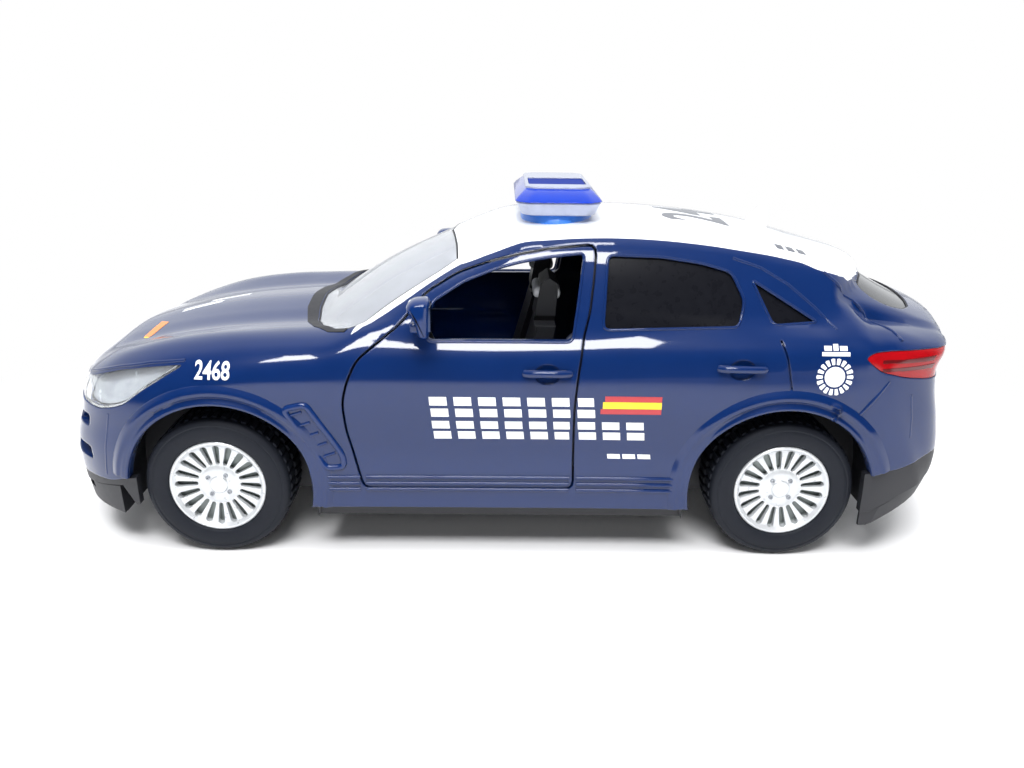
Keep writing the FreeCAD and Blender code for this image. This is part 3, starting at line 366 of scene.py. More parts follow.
def smooth(obj: bpy.types.Object, degrees: float = 32.0) -> bpy.types.Object:
    """Shades a piece smooth, keeping the edges sharper than an angle."""
    only(obj)
    bpy.ops.object.shade_smooth_by_angle(angle=math.radians(degrees))
    return obj


def outward(obj: bpy.types.Object) -> bpy.types.Object:
    """Merges doubles and turns every face outwards."""
    only(obj)
    bpy.ops.object.mode_set(mode="EDIT")
    bpy.ops.mesh.select_all(action="SELECT")
    bpy.ops.mesh.remove_doubles(threshold=1e-7)
    bpy.ops.mesh.normals_make_consistent(inside=False)
    bpy.ops.object.mode_set(mode="OBJECT")
    return obj


def joined(parts: Sequence[bpy.types.Object], name: str) -> bpy.types.Object:
    """Joins meshes into one piece with a name."""
    only(parts[0])
    for part in parts[1:]:
        part.select_set(True)
    if len(parts) > 1:
        bpy.ops.object.join()
    parts[0].name = name
    parts[0].data.name = name
    return parts[0]


def twin(obj: bpy.types.Object, name: str) -> bpy.types.Object:
    """Copies a piece with its own mesh."""
    copy = obj.copy()
    copy.data = obj.data.copy()
    copy.name = name
    copy.data.name = name
    bpy.context.scene.collection.objects.link(copy)
    return copy


def mirrored(obj: bpy.types.Object, name: str) -> bpy.types.Object:
    """Copies a piece to the other side of the car."""
    copy = twin(obj, name)
    copy.data.transform(Matrix.Scale(-1, 4, Vector((0, 1, 0))))
    copy.data.flip_normals()
    return copy


def cut(target: bpy.types.Object, cutter: bpy.types.Object, keep: Keep) -> bpy.types.Object:
    """Cuts a piece with a closed cutter, and deletes the cutter."""
    apply_modifier(target, "BOOLEAN", operation=keep.value, object=cutter, solver="EXACT")
    bpy.data.objects.remove(cutter)
    return target


def rounded(points: Sequence[Point2], radius: float, steps: int = 5) -> list[Point2]:
    """Rounds the corners of an outline.

    Args:
        points: the corners, in order.
        radius: how far from a corner the curve starts, at most.
        steps: points along each rounded corner.

    Returns:
        The new outline.
    """
    ring = [Vector(p) for p in points]
    out: list[Point2] = []
    for i, corner in enumerate(ring):
        before, after = ring[i - 1] - corner, ring[(i + 1) % len(ring)] - corner
        reach = min(radius, before.length * 0.48, after.length * 0.48)
        start, end = corner + before.normalized() * reach, corner + after.normalized() * reach
        for k in range(steps + 1):
            t = k / steps
            spot = start * (1 - t) ** 2 + corner * 2 * t * (1 - t) + end * t * t
            out.append((spot.x, spot.y))
    return out


def shifted(points: Sequence[Point2], by: float) -> list[Point2]:
    """Moves an outline outwards by a width, or inwards where it is negative."""
    ring = [Vector(p) for p in points]
    area = sum(a.x * b.y - b.x * a.y for a, b in zip(ring, ring[1:] + ring[:1]))
    turn = 1.0 if area > 0 else -1.0
    out = []
    for i, spot in enumerate(ring):
        a = (spot - ring[i - 1]).normalized()
        b = (ring[(i + 1) % len(ring)] - spot).normalized()
        normal = Vector((a.y + b.y, -a.x - b.x)) * turn
        normal.normalize()
        bend = max(0.5, normal.dot(Vector((a.y, -a.x)) * turn))
        out.append((spot.x + normal.x * by / bend, spot.y + normal.y * by / bend))
    return out


def even(points: Sequence[Point2], step: float, closed: bool = True) -> list[Point2]:
    """Puts points along an outline no further apart than a step."""
    ring = [Vector(p) for p in points]
    out: list[Point2] = []
    ends = ring[1:] + ring[:1] if closed else ring[1:]
    for a, b in zip(ring, ends):
        parts = max(1, math.ceil((b - a).length / step))
        for k in range(parts):
            spot = a.lerp(b, k / parts)
            out.append((spot.x, spot.y))
    if not closed:
        out.append((ring[-1].x, ring[-1].y))
    return out


class Axis(Enum):
    """The direction a flat outline is pushed along, and the row axes its two numbers stand for."""

    X = (1, 2, 0)
    Y = (0, 2, 1)
    Z = (0, 1, 2)


def outline_prism(name: str, points: Sequence[Point2], axis: Axis, near: float, far: float) -> bpy.types.Object:
    """Extrudes a closed outline along an axis.

    Args:
        name: the new object's name.
        points: the outline's corners in millimetres.
        axis: the direction of the extrusion.
        near: where it starts.
        far: where it ends.

    Returns:
        The closed prism.
    """
    bpy.ops.object.select_all(action="DESELECT")
    bpy.ops.mesh.primitive_circle_add(vertices=len(points), radius=1, fill_type="NGON")
    obj = bpy.context.object
    obj.name = name
    first, second, third = axis.value
    for vertex, (a, b) in zip(obj.data.vertices, points):
        vertex.co[first] = a * MM
        vertex.co[second] = b * MM
        vertex.co[third] = near * MM
    push = [0.0, 0.0, 0.0]
    push[third] = (far - near) * MM
    bpy.ops.object.mode_set(mode="EDIT")
    bpy.ops.mesh.select_all(action="SELECT")
    bpy.ops.mesh.extrude_region_move(TRANSFORM_OT_translate={"value": push})
    bpy.ops.mesh.select_all(action="SELECT")
    bpy.ops.mesh.normals_make_consistent(inside=False)
    bpy.ops.object.mode_set(mode="OBJECT")
    return obj


def tube(name: str, points: Array, radius: float, closed: bool, sides: int = 2) -> bpy.types.Object:
    """A round bead along points in millimetres.

    Args:
        name: the piece's name.
        points: rows of x, y, z.
        radius: the bead's radius in millimetres.
        closed: whether the last point joins the first.
        sides: the curve's bevel resolution.

    Returns:
        The bead as a mesh.
    """
    curve = bpy.data.curves.new(name, "CURVE")
    curve.dimensions = "3D"
    line = curve.splines.new("POLY")
    line.points.add(len(points) - 1)
    for spot, p in zip(line.points, points):
        spot.co = (p[0] * MM, p[1] * MM, p[2] * MM, 1)
    line.use_cyclic_u = closed
    curve.bevel_depth = radius * MM
    curve.bevel_resolution = sides
    curve.use_fill_caps = not closed
    obj = bpy.data.objects.new(name, curve)
    bpy.context.scene.collection.objects.link(obj)
    only(obj)
    bpy.ops.object.convert(target="MESH")
    obj = bpy.context.object
    obj.name = name
    return smooth(outward(obj), 60)


def spun(name: str, profile: Sequence[Point2], centre: Vector, steps: int, closed: bool = False) -> bpy.types.Object:
    """Spins a profile of radius and Y about an axle along Y.

    Args:
        name: the piece's name.
        profile: rows of radius and Y in millimetres.
        centre: a point on the axle, in millimetres.
        steps: steps of a full turn.
        closed: whether the profile's last point joins its first.

    Returns:
        The turned piece.
    """
    bpy.ops.object.select_all(action="DESELECT")
    bpy.ops.mesh.primitive_circle_add(vertices=max(3, len(profile)), radius=1, fill_type="NOTHING")
    obj = bpy.context.object
    obj.name = name
    for vertex, (r, y) in zip(obj.data.vertices, profile):
        vertex.co = ((centre.x + r) * MM, y * MM, centre.z * MM)
    bpy.ops.object.mode_set(mode="EDIT")
    bpy.ops.mesh.select_all(action="DESELECT")
    bpy.ops.object.mode_set(mode="OBJECT")
    if not closed:
        last = len(profile) - 1
        for edge in obj.data.edges:
            edge.select = set(edge.vertices) == {0, last}
        bpy.ops.object.mode_set(mode="EDIT")
        bpy.ops.mesh.select_mode(type="EDGE")
        bpy.ops.mesh.delete(type="EDGE")
        bpy.ops.object.mode_set(mode="OBJECT")
    bpy.ops.object.mode_set(mode="EDIT")
    bpy.ops.mesh.select_mode(type="VERT")
    bpy.ops.mesh.select_all(action="SELECT")
    middle = (centre.x * MM, 0.0, centre.z * MM)
    bpy.ops.mesh.spin(steps=steps, dupli=False, angle=math.tau, center=middle, axis=(0, 1, 0))
    bpy.ops.mesh.select_all(action="SELECT")
    bpy.ops.mesh.remove_doubles(threshold=2e-6)
    bpy.ops.mesh.normals_make_consistent(inside=False)
    bpy.ops.object.mode_set(mode="OBJECT")
    return smooth(obj)


# Solids laid on the form.


@dataclass(frozen=True)
class Fineness:
    """How finely the form is sampled."""

    end_rings: int
    body_rings: int
    around: int
    step: float
    turn: int


FINE = Fineness(44, 150, 250, 0.45, 120)


def box_grid(low: Point2, high: Point2, step: float) -> list[Array]:
    """Spreads points evenly over a box, about a step apart."""
    spans = [np.linspace(a, b, max(2, math.ceil((b - a) / step))) for a, b in zip(low, high)]
    return np.meshgrid(*spans, indexing="ij")


@dataclass(frozen=True)
class Lattice:
    """Rays out of the form in rows, and whether each row closes on itself."""

    start: Array
    direction: Array
    closed: bool = False

    @staticmethod
    def side(low: Point2, high: Point2, side: Side, step: float) -> "Lattice":
        """Rays straight out of one side, over a box of X and Z."""
        x, z = box_grid(low, high, step)
        start = np.stack([x, np.full_like(x, CORE_Y * side.value), z], -1)
        return Lattice(start, np.broadcast_to([0.0, side.value, 0.0], start.shape))

    @staticmethod
    def top(low: Point2, high: Point2, step: float) -> "Lattice":
        """Rays straight up, over a box of X and Y."""
        x, y = box_grid(low, high, step)
        start = np.stack([x, y, np.full_like(x, 20.0)], -1)
        return Lattice(start, np.broadcast_to([0.0, 0.0, 1.0], start.shape))

    @staticmethod
    def fan(centre: Point3, turn: Point2, rise: Point2, rows: int, columns: int) -> "Lattice":
        """Rays from one point, between two headings and two rises in degrees."""
        headings, rises = np.radians(np.linspace(*turn, rows)), np.radians(np.linspace(*rise, columns))
        a, e = np.meshgrid(headings, rises, indexing="ij")
        direction = np.stack([np.cos(e) * np.cos(a), np.cos(e) * np.sin(a), np.sin(e)], -1)
        return Lattice(np.broadcast_to(np.array(centre, float), direction.shape), direction)

    @staticmethod
    def ring(x0: float, side: Side, turn: Point2, radii: Sequence[float], rows: int) -> "Lattice":
        """Rays straight out of one side, in arcs about a wheel arch between two angles in degrees."""
        a, r = np.meshgrid(np.radians(np.linspace(*turn, rows)), np.array(radii, float), indexing="ij")
        start = np.stack([x0 + r * np.cos(a), np.full_like(a, CORE_Y * side.value), AXLE_Z + r * np.sin(a)], -1)
        return Lattice(start, np.broadcast_to([0.0, side.value, 0.0], start.shape))

    @staticmethod
    def capsule(fine: Fineness) -> "Lattice":
        """Rays in every direction from a line along the car, in rings from the tail to the nose."""
        low, high, z, crowding, first_lean = -42.0, 44.0, 15.0, 0.09, 0.6
        steps = np.linspace(0, 1, fine.around, endpoint=False)
        angle = np.radians(-90 + 360 * (steps - crowding * np.sin(math.tau * steps)))
        lean = np.radians(np.linspace(first_lean, 90, fine.end_rings))
        start, direction = [], []
        flat = np.stack([np.zeros_like(angle), np.cos(angle), np.sin(angle)], 1)
        for t in lean:
            start.append(np.tile([low, 0, z], (len(angle), 1)))
            direction.append(flat * math.sin(t) + np.array([-math.cos(t), 0, 0]))
        for x in np.linspace(low, high, fine.body_rings)[1:-1]:
            start.append(np.tile([x, 0, z], (len(angle), 1)))
            direction.append(flat.copy())
        for t in lean[::-1]:
            start.append(np.tile([high, 0, z], (len(angle), 1)))
            direction.append(flat * math.sin(t) + np.array([math.cos(t), 0, 0]))
        return Lattice(np.array(start), np.array(direction), True)


def hits(rays: Lattice, reach: float = 48.0) -> tuple[Array, Array]:
    """Finds where rays leave the form.

    Args:
        rays: the rays.
        reach: how far out every ray is outside.

    Returns:
        The distance along each ray, and the cosine between the ray and the paint's normal.
    """
    start = rays.start.reshape(-1, 3).astype(float)
    direction = rays.direction.reshape(-1, 3).astype(float)

    def value(t: Array) -> Array:
        """The field at a distance along each ray, closed below."""
        p = start + direction * t[:, None]
        return np.minimum(FORM.field(p), p[:, 2] - UNDERSIDE)

    low, high = np.zeros(len(start)), np.full(len(start), reach)
    for _ in range(RAY_STEPS):
        middle = (low + high) / 2
        inside = value(middle) > 0
        low, high = np.where(inside, middle, low), np.where(inside, high, middle)
    t = (low + high) / 2
    p = start + direction * t[:, None]
    slopes = []
    for axis in range(3):
        moved = p.copy()
        moved[:, axis] += SLOPE_STEP
        back = p.copy()
        back[:, axis] -= SLOPE_STEP
        slopes.append((FORM.field(moved) - FORM.field(back)) / (2 * SLOPE_STEP))
    normal = -np.stack(slopes, 1)
    normal /= np.maximum(np.linalg.norm(normal, axis=1), 1e-6)[:, None]
    lean = np.clip((normal * direction).sum(axis=1), 0.4, 1.0)
    return t.reshape(rays.start.shape[:2]), lean.reshape(rays.start.shape[:2])


def mesh_object(name: str, points: Array, faces: Iterable[Sequence[int]]) -> bpy.types.Object:
    """Makes an object from points in millimetres and faces."""
    mesh = bpy.data.meshes.new(name)
    mesh.from_pydata((np.asarray(points) * MM).tolist(), [], [tuple(f) for f in faces])
    obj = bpy.data.objects.new(name, mesh)
    bpy.context.scene.collection.objects.link(obj)
    return outward(obj)


def slab(name: str, rays: Lattice, near: float | Array, far: float | Array) -> bpy.types.Object:
    """Makes a closed slab that follows the paint between two depths.

    Args:
        name: the piece's name.
        rays: an open lattice of rays.
        near: the outer depth below the paint, negative above it, one for all rays or one a ray.
        far: the inner depth.

    Returns:
        The slab.
    """
    t, lean = hits(rays)
    rows, columns = t.shape
    outer = rays.start + rays.direction * (t - near / lean)[..., None]
    inner = rays.start + rays.direction * (t - far / lean)[..., None]
    points = np.concatenate([outer.reshape(-1, 3), inner.reshape(-1, 3)])
    count = rows * columns
    faces = []
    for i in range(rows - 1):
        for j in range(columns - 1):
            a = i * columns + j
            faces.append((a, a + columns, a + columns + 1, a + 1))
            faces.append((count + a, count + a + 1, count + a + columns + 1, count + a + columns))
    edge = [i * columns for i in range(rows)] + [(rows - 1) * columns + j for j in range(1, columns)]
    edge += [i * columns + columns - 1 for i in range(rows - 2, -1, -1)] + [j for j in range(columns - 2, 0, -1)]
    for a, b in zip(edge, edge[1:] + edge[:1]):
        faces.append((a, b, count + b, count + a))
    return mesh_object(name, points, faces)


def form_blocks(wall: float) -> tuple[bpy.types.Object, bpy.types.Object]:
    """Makes the whole casting as a closed block, and the block of the room inside it.

    Args:
        wall: how far inside the paint the room starts, in millimetres.

    Returns:
        The outer and the inner block.
    """
    rays = Lattice.capsule(FINE)
    t, lean = hits(rays)

    def block(name: str, grid: Array) -> bpy.types.Object:
        """Closes rings of points into one solid."""
        rings, around = grid.shape[:2]
        points = np.concatenate([grid.reshape(-1, 3), [grid[0].mean(axis=0), grid[-1].mean(axis=0)]])
        first, last = rings * around, rings * around + 1
        faces = []
        for i in range(rings - 1):
            for j in range(around):
                a, b = i * around + j, i * around + (j + 1) % around
                faces.append((a, b, b + around, a + around))
        for j in range(around):
            k = (j + 1) % around
            faces.append((k, j, first))
            faces.append(((rings - 1) * around + j, (rings - 1) * around + k, last))
        return mesh_object(name, points, faces)

    outer = block("body_skin", rays.start + rays.direction * t[..., None])
    inner = block("room", (rays.start + rays.direction * (t - wall / lean)[..., None])[::2, ::2])
    return outer, inner


def inset_of(outline: Sequence[Point2], side: Side, name: str, near: float, far: float) -> bpy.types.Object:
    """Makes a piece of the side wall from an outline in X and Z."""
    xs, zs = [p[0] for p in outline], [p[1] for p in outline]
    rays = Lattice.side((min(xs) - 0.5, min(zs) - 0.5), (max(xs) + 0.5, max(zs) + 0.5), side, FINE.step)
    piece = slab(name, rays, near, far)
    ends = sorted((2.0 * side.value, 40.0 * side.value))
    return cut(piece, outline_prism("cutter", outline, Axis.Y, *ends), Keep.INSIDE)


def top_of(outlines: Sequence[Sequence[Point2]], name: str, near: float, far: float, step: float) -> bpy.types.Object:
    """Makes a piece of the roof, screen or bonnet from outlines in X and Y."""
    xs = [p[0] for o in outlines for p in o]
    ys = [p[1] for o in outlines for p in o]
    piece = slab(name, Lattice.top((min(xs) - 0.5, min(ys) - 0.5), (max(xs) + 0.5, max(ys) + 0.5), step), near, far)
    cutters = [outline_prism("cutter", o, Axis.Z, 10, 60) for o in outlines]
    return cut(piece, joined(cutters, "cutters"), Keep.INSIDE)


# Finishes.


def set_inputs(node: bpy.types.Node, values: dict) -> None:
    """Gives a node's inputs their values, by name or number."""
    for key, value in values.items():
        node.inputs[key].default_value = value


def add_node(tree: bpy.types.NodeTree, kind: str, values: dict | None = None, **settings: object) -> bpy.types.Node:
    """Adds a node.

    Args:
        tree: where it goes.
        kind: its type.
        values: the values of its inputs, by name or number.
        settings: its own settings.

    Returns:
        The node.
    """
    node = tree.nodes.new(kind)
    for name, value in settings.items():
        setattr(node, name, value)
    set_inputs(node, values or {})
    return node


def link_all(tree: bpy.types.NodeTree, *pairs: tuple[bpy.types.NodeSocket, bpy.types.NodeSocket]) -> None:
    """Links outputs to inputs."""
    for start, end in pairs:
        tree.links.new(start, end)


def linear(red: int, green: int, blue: int) -> tuple[float, float, float]:
    """A screen colour of 0 to 255 as linear light."""
    out = []
    for value in (red, green, blue):
        v = value / 255
        out.append(v / 12.92 if v <= 0.04045 else ((v + 0.055) / 1.055) ** 2.4)
    return out[0], out[1], out[2]


@dataclass(frozen=True)
class Finish:
    """One surface finish: two close colours, gloss, grain and the softness of its edges."""

    name: str
    slot: str
    colour: tuple[float, float, float]
    second: tuple[float, float, float]
    rough: Point2 = (0.35, 0.45)
    grain: float = 900.0
    bump: float = 0.03
    edge: float = 0.12
    metal: float = 0.0
    coat: float = 0.0
    clear: float = 0.0
    ior: float = 1.5
    specular: float = 0.5
    extra: dict = field(default_factory=dict, hash=False)

    def make(self) -> bpy.types.Material:
        """Builds the finish once.

        Returns:
            The material.
        """
        if self.name in bpy.data.materials:
            return bpy.data.materials[self.name]
        material = bpy.data.materials.new(self.name)
        material.use_nodes = True
        tree = material.node_tree
        shader = tree.nodes["Principled BSDF"]
        sheen = add_node(tree, "ShaderNodeGroup", node_tree=surface_group())
        set_inputs(sheen, {"Scale": self.grain, "Bump": self.bump, "Edge": self.edge * MM})
        mix = add_node(tree, "ShaderNodeMix", data_type="RGBA")
        set_inputs(mix, {6: (*self.colour, 1), 7: (*self.second, 1)})
        gloss = add_node(tree, "ShaderNodeMapRange", {"To Min": self.rough[0], "To Max": self.rough[1]})
        link_all(tree, (sheen.outputs["Mask"], mix.inputs[0]), (sheen.outputs["Mask"], gloss.inputs["Value"]),
                 (mix.outputs[2], shader.inputs["Base Color"]), (gloss.outputs["Result"], shader.inputs["Roughness"]),
                 (sheen.outputs["Normal"], shader.inputs["Normal"]))
        set_inputs(shader, {"Metallic": self.metal, "Coat Weight": self.coat, "Coat Roughness": COAT_ROUGHNESS,
                            "Transmission Weight": self.clear, "IOR": self.ior, "Specular IOR Level": self.specular})
        if self.coat:
            tree.links.new(sheen.outputs["Normal"], shader.inputs["Coat Normal"])
        set_inputs(shader, self.extra)
        return material


def surface_group() -> bpy.types.NodeTree:
    """The shared surface effect: a fine grain mask, and normals rounded at edges and roughened by the grain."""
    name = "fine_surface"
    if name in bpy.data.node_groups:
        return bpy.data.node_groups[name]
    group = bpy.data.node_groups.new(name, "ShaderNodeTree")
    for name, value in (("Scale", 900.0), ("Bump", 0.03), ("Edge", 0.0001)):
        socket = group.interface.new_socket(name=name, in_out="INPUT", socket_type="NodeSocketFloat")
        socket.default_value = value
    group.interface.new_socket(name="Mask", in_out="OUTPUT", socket_type="NodeSocketFloat")
    group.interface.new_socket(name="Normal", in_out="OUTPUT", socket_type="NodeSocketVector")
    enter, leave = group.nodes.new("NodeGroupInput"), group.nodes.new("NodeGroupOutput")
    place_at = add_node(group, "ShaderNodeTexCoord")
    noise = add_node(group, "ShaderNodeTexNoise", {"Detail": 3.0})
    edge = add_node(group, "ShaderNodeBevel", samples=4)
    bump = add_node(group, "ShaderNodeBump", {"Distance": 0.02 * MM})
    link_all(group, (place_at.outputs["Object"], noise.inputs["Vector"]),
             (enter.outputs["Scale"], noise.inputs["Scale"]), (enter.outputs["Edge"], edge.inputs["Radius"]),
             (enter.outputs["Bump"], bump.inputs["Strength"]),
             (noise.outputs["Fac"], bump.inputs["Height"]), (edge.outputs["Normal"], bump.inputs["Normal"]),
             (noise.outputs["Fac"], leave.inputs["Mask"]), (bump.outputs["Normal"], leave.inputs["Normal"]))
    return group


def roof_group() -> bpy.types.NodeTree:
    """The mask of the white paint: the roof between its two long edges, from the screen to the spoiler."""
    name = "roof_paint_edge"
    if name in bpy.data.node_groups:
        return bpy.data.node_groups[name]
    group = bpy.data.node_groups.new(name, "ShaderNodeTree")
    group.interface.new_socket(name="Mask", in_out="OUTPUT", socket_type="NodeSocketFloat")
    leave = group.nodes.new("NodeGroupOutput")
    place_at = add_node(group, "ShaderNodeTexCoord")
    split = add_node(group, "ShaderNodeSeparateXYZ")
    along = add_node(group, "ShaderNodeMapRange", {"From Min": -0.050, "From Max": 0.010})
    curve = add_node(group, "ShaderNodeFloatCurve")
    line = curve.mapping.curves[0]
    rows = [(-50.0, 10.6), (-45.0, 13.2), (-43.2, 14.7), (-40.5, 15.5), (-37.0, 15.0), (-28.0, 14.85), (-20.0, 14.65),
            (-11.0, 14.7), (-5.0, 14.95), (1.6, 15.1), (5.0, 15.0), (10.0, 13.6)]
    widest, sharpness, lowest = 20.0, 20000.0, 0.035
    line.points[0].location = (0.0, rows[0][1] / widest)
    line.points[1].location = (1.0, rows[-1][1] / widest)
    for x, width in rows[1:-1]:
        line.points.new((x + 50) / 60, width / widest)
    curve.mapping.update()
    link_all(group, (place_at.outputs["Object"], split.inputs[0]), (split.outputs["X"], along.inputs["Value"]),
             (along.outputs["Result"], curve.inputs["Value"]))

    def math_node(kind: str, first: object, second: object) -> bpy.types.NodeSocket:
        """Adds one step of arithmetic on numbers or sockets."""
        node = add_node(group, "ShaderNodeMath", operation=kind)
        for socket, value in zip(node.inputs, (first, second)):
            if isinstance(value, float):
                socket.default_value = value
            elif value is not None:
                group.links.new(value, socket)
        return node.outputs[0]

    wide = math_node("MULTIPLY", curve.outputs["Value"], 0.020)
    off = math_node("ABSOLUTE", split.outputs["Y"], None)
    inside = math_node("MULTIPLY", math_node("SUBTRACT", wide, off), sharpness)
    above = math_node("MULTIPLY", math_node("SUBTRACT", split.outputs["Z"], lowest), sharpness)
    lower = math_node("MINIMUM", inside, above)
    both = add_node(group, "ShaderNodeClamp")
    link_all(group, (lower, both.inputs["Value"]), (both.outputs[0], leave.inputs["Mask"]))
    return group


def printed(name: str, colour: tuple[float, float, float], second: tuple[float, float, float]) -> Finish:
    """The finish of a printed mark; the white one also colours the painted highlight strips on the windscreen pillars.
    """
    return Finish(name, "white_paint", colour, second, rough=(0.35, 0.5), grain=1800.0, bump=0.03, edge=0.02, coat=0.5)


NAVY = Finish("navy_casting_paint", "navy_paint", linear(4, 33, 82), linear(6, 37, 89), rough=(0.30, 0.38),
              grain=260.0, bump=0.012, edge=0.22, coat=1.0, specular=0.08)
NAVY_TRIM = Finish("navy_trim_plastic", "navy_plastic", linear(5, 37, 90), linear(7, 41, 97), rough=(0.25, 0.33),
                   grain=500.0, bump=0.02, edge=0.14, coat=0.9, specular=0.1)
BLACK = Finish("black_moulded_plastic", "black_plastic", linear(27, 28, 33), linear(36, 37, 43), rough=(0.42, 0.58),
               grain=1500.0, bump=0.12, edge=0.12)
DARK = Finish("black_cabin_plastic", "black_plastic", linear(24, 28, 44), linear(32, 38, 60), rough=(0.4, 0.55),
              grain=1500.0, bump=0.12, edge=0.12)
GREY = Finish("grey_cabin_plastic", "grey_plastic", linear(24, 25, 29), linear(32, 33, 38), rough=(0.45, 0.6),
              grain=1800.0, bump=0.2, edge=0.15)
BAND = Finish("grey_seat_band", "grey_plastic", linear(196, 198, 202), linear(212, 214, 217), rough=(0.5, 0.6),
              grain=2200.0, bump=0.2, edge=0.15)
CLEAR = Finish("clear_screen_plastic", "clear_plastic", linear(206, 210, 218), linear(218, 222, 229),
               rough=(0.05, 0.10), grain=200.0, bump=0.01, edge=0.05, clear=0.62, ior=1.3, coat=0.5)
SMOKE = Finish("smoked_screen_plastic", "smoked_plastic", linear(52, 54, 60), linear(60, 62, 68), rough=(0.04, 0.08),
               grain=200.0, bump=0.01, edge=0.05, clear=0.5, ior=1.4, coat=0.4)
DARK_GLASS = Finish("black_side_glazing", "black_glazing", linear(13, 14, 19), linear(19, 20, 26), rough=(0.22, 0.35),
                    grain=900.0, bump=0.10, edge=0.08, specular=0.1)
LAMP = Finish("clear_lamp_plastic", "lamp_clear", linear(244, 247, 250), linear(248, 251, 253), rough=(0.02, 0.06),
              grain=300.0, bump=0.02, edge=0.08, clear=0.95, ior=1.3)
RED = Finish("red_lamp_plastic", "lamp_red", linear(150, 5, 14), linear(180, 12, 22), rough=(0.10, 0.16),
             grain=350.0, bump=0.02, edge=0.10, coat=0.3, clear=0.12, specular=0.3)
RED_BAR = Finish("dark_red_lamp_rib", "lamp_red", linear(78, 6, 12), linear(98, 10, 16), rough=(0.15, 0.25),
                 grain=700.0, bump=0.03, edge=0.05, coat=0.5)
SILVER = Finish("silver_wheel_plating", "silver_plastic", linear(206, 209, 212), linear(220, 223, 226),
                rough=(0.24, 0.34), grain=1200.0, bump=0.03, edge=0.10, metal=0.3, coat=0.5)
LUG = Finish("grey_lug_bolts", "silver_plastic", linear(150, 154, 160), linear(168, 172, 178), rough=(0.3, 0.4),
             grain=1200.0, bump=0.03, edge=0.05, metal=0.4)
BARREL = Finish("grey_wheel_barrel", "silver_plastic", linear(118, 125, 124), linear(140, 147, 145),
                rough=(0.30, 0.42), grain=1400.0, bump=0.06, edge=0.10, metal=0.5)
FROST = Finish("frosted_silver_plastic", "silver_plastic", linear(150, 156, 178), linear(172, 178, 198),
               rough=(0.30, 0.42), grain=1100.0, bump=0.22, edge=0.10, metal=0.3, coat=0.5)
BLUE = Finish("blue_light_plastic", "blue_plastic", linear(0, 48, 172), linear(8, 66, 196), rough=(0.06, 0.14),
              grain=300.0, bump=0.02, edge=0.10, coat=0.35, clear=0.2, specular=0.3)
DEEP_BLUE = Finish("deep_blue_panel", "blue_plastic", linear(14, 36, 116), linear(22, 48, 134), rough=(0.5, 0.6),
                   grain=600.0, bump=0.05, edge=0.06, specular=0.05)
# The light bar's foot: pale blue with a faint emission, a painted glow standing in for light shining through the blue
# lens onto the roof.
GLOWING_BLUE = Finish("pale_blue_plastic_painted_glow", "blue_plastic", linear(50, 116, 214), linear(62, 130, 224), rough=(0.3, 0.4),
                   grain=300.0, bump=0.02, edge=0.30, coat=0.3,
                   extra={"Emission Color": (0.04, 0.19, 0.7, 1), "Emission Strength": 0.12})
STEEL = Finish("steel_axle", "steel", linear(150, 152, 156), linear(176, 178, 182), rough=(0.25, 0.4), grain=2000.0,
               bump=0.05, metal=1.0)
TYRE = Finish("soft_black_tyre", "soft_tyre", linear(24, 27, 34), linear(32, 35, 43), rough=(0.5, 0.66), grain=1600.0,
              bump=0.18, edge=0.10, specular=0.2)
WHITE_PRINT_AND_HIGHLIGHT = printed("white_print_and_painted_highlight", linear(238, 241, 245), linear(247, 249, 251))
RED_MARK = printed("red_print", linear(176, 36, 46), linear(190, 46, 54))
YELLOW_MARK = printed("yellow_print", linear(240, 206, 14), linear(246, 218, 34))
ORANGE_MARK = printed("orange_print", linear(226, 124, 40), linear(234, 140, 56))
GREY_MARK = printed("grey_print", linear(70, 74, 84), linear(84, 88, 98))
CHROME = Finish("bright_reflector", "silver_plastic", linear(150, 155, 164), linear(250, 251, 253),
                rough=(0.15, 0.35), grain=420.0, bump=0.9, edge=0.05, metal=0.4)
MIRROR = Finish("mirror_foil", "silver_plastic", linear(52, 62, 88), linear(66, 76, 102), rough=(0.08, 0.16),
                grain=600.0, bump=0.02, edge=0.05, metal=0.9)


def body_paint() -> bpy.types.Material:
    """The casting's paint: navy, with the white roof sprayed over it."""
    name = "navy_paint_white_roof"
    if name in bpy.data.materials:
        return bpy.data.materials[name]
    material = NAVY.make().copy()
    material.name = name
    tree = material.node_tree
    shader = tree.nodes["Principled BSDF"]
    below = shader.inputs["Base Color"].links[0].from_socket
    roof = add_node(tree, "ShaderNodeGroup", node_tree=roof_group())
    over = add_node(tree, "ShaderNodeMix", data_type="RGBA")
    set_inputs(over, {7: (*linear(240, 243, 247), 1)})
    link_all(tree, (roof.outputs["Mask"], over.inputs[0]), (below, over.inputs[6]),
             (over.outputs[2], shader.inputs["Base Color"]))
    return material


def finish(obj: bpy.types.Object, look: Finish, body: str, *nodes: str) -> bpy.types.Object:
    """Gives a piece its finish, its body and the CAD nodes it stands for.

    Args:
        obj: the piece.
        look: its finish.
        body: the CAD body it rides on.
        nodes: CAD nodes it replaces.

    Returns:
        The piece.
    """
    obj.data.materials.clear()
    obj.data.materials.append(look.make())
    return ridden(obj, look.slot, body, *nodes)


def ridden(obj: bpy.types.Object, slot: str, body: str, *nodes: str) -> bpy.types.Object:
    """Makes a piece ride on a body, and hides the CAD nodes it stands for."""
    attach(obj, body)
    if nodes:
        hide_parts(*nodes)
    log.info("%s: %d faces on %s", obj.name, len(obj.data.polygons), body)
    return obj


# Outlines of the openings.


def both_halves(half: Sequence[Point2]) -> list[Point2]:
    """A plan outline from its left half."""
    return list(half) + [(x, -y) for x, y in half[::-1] if y > 0]


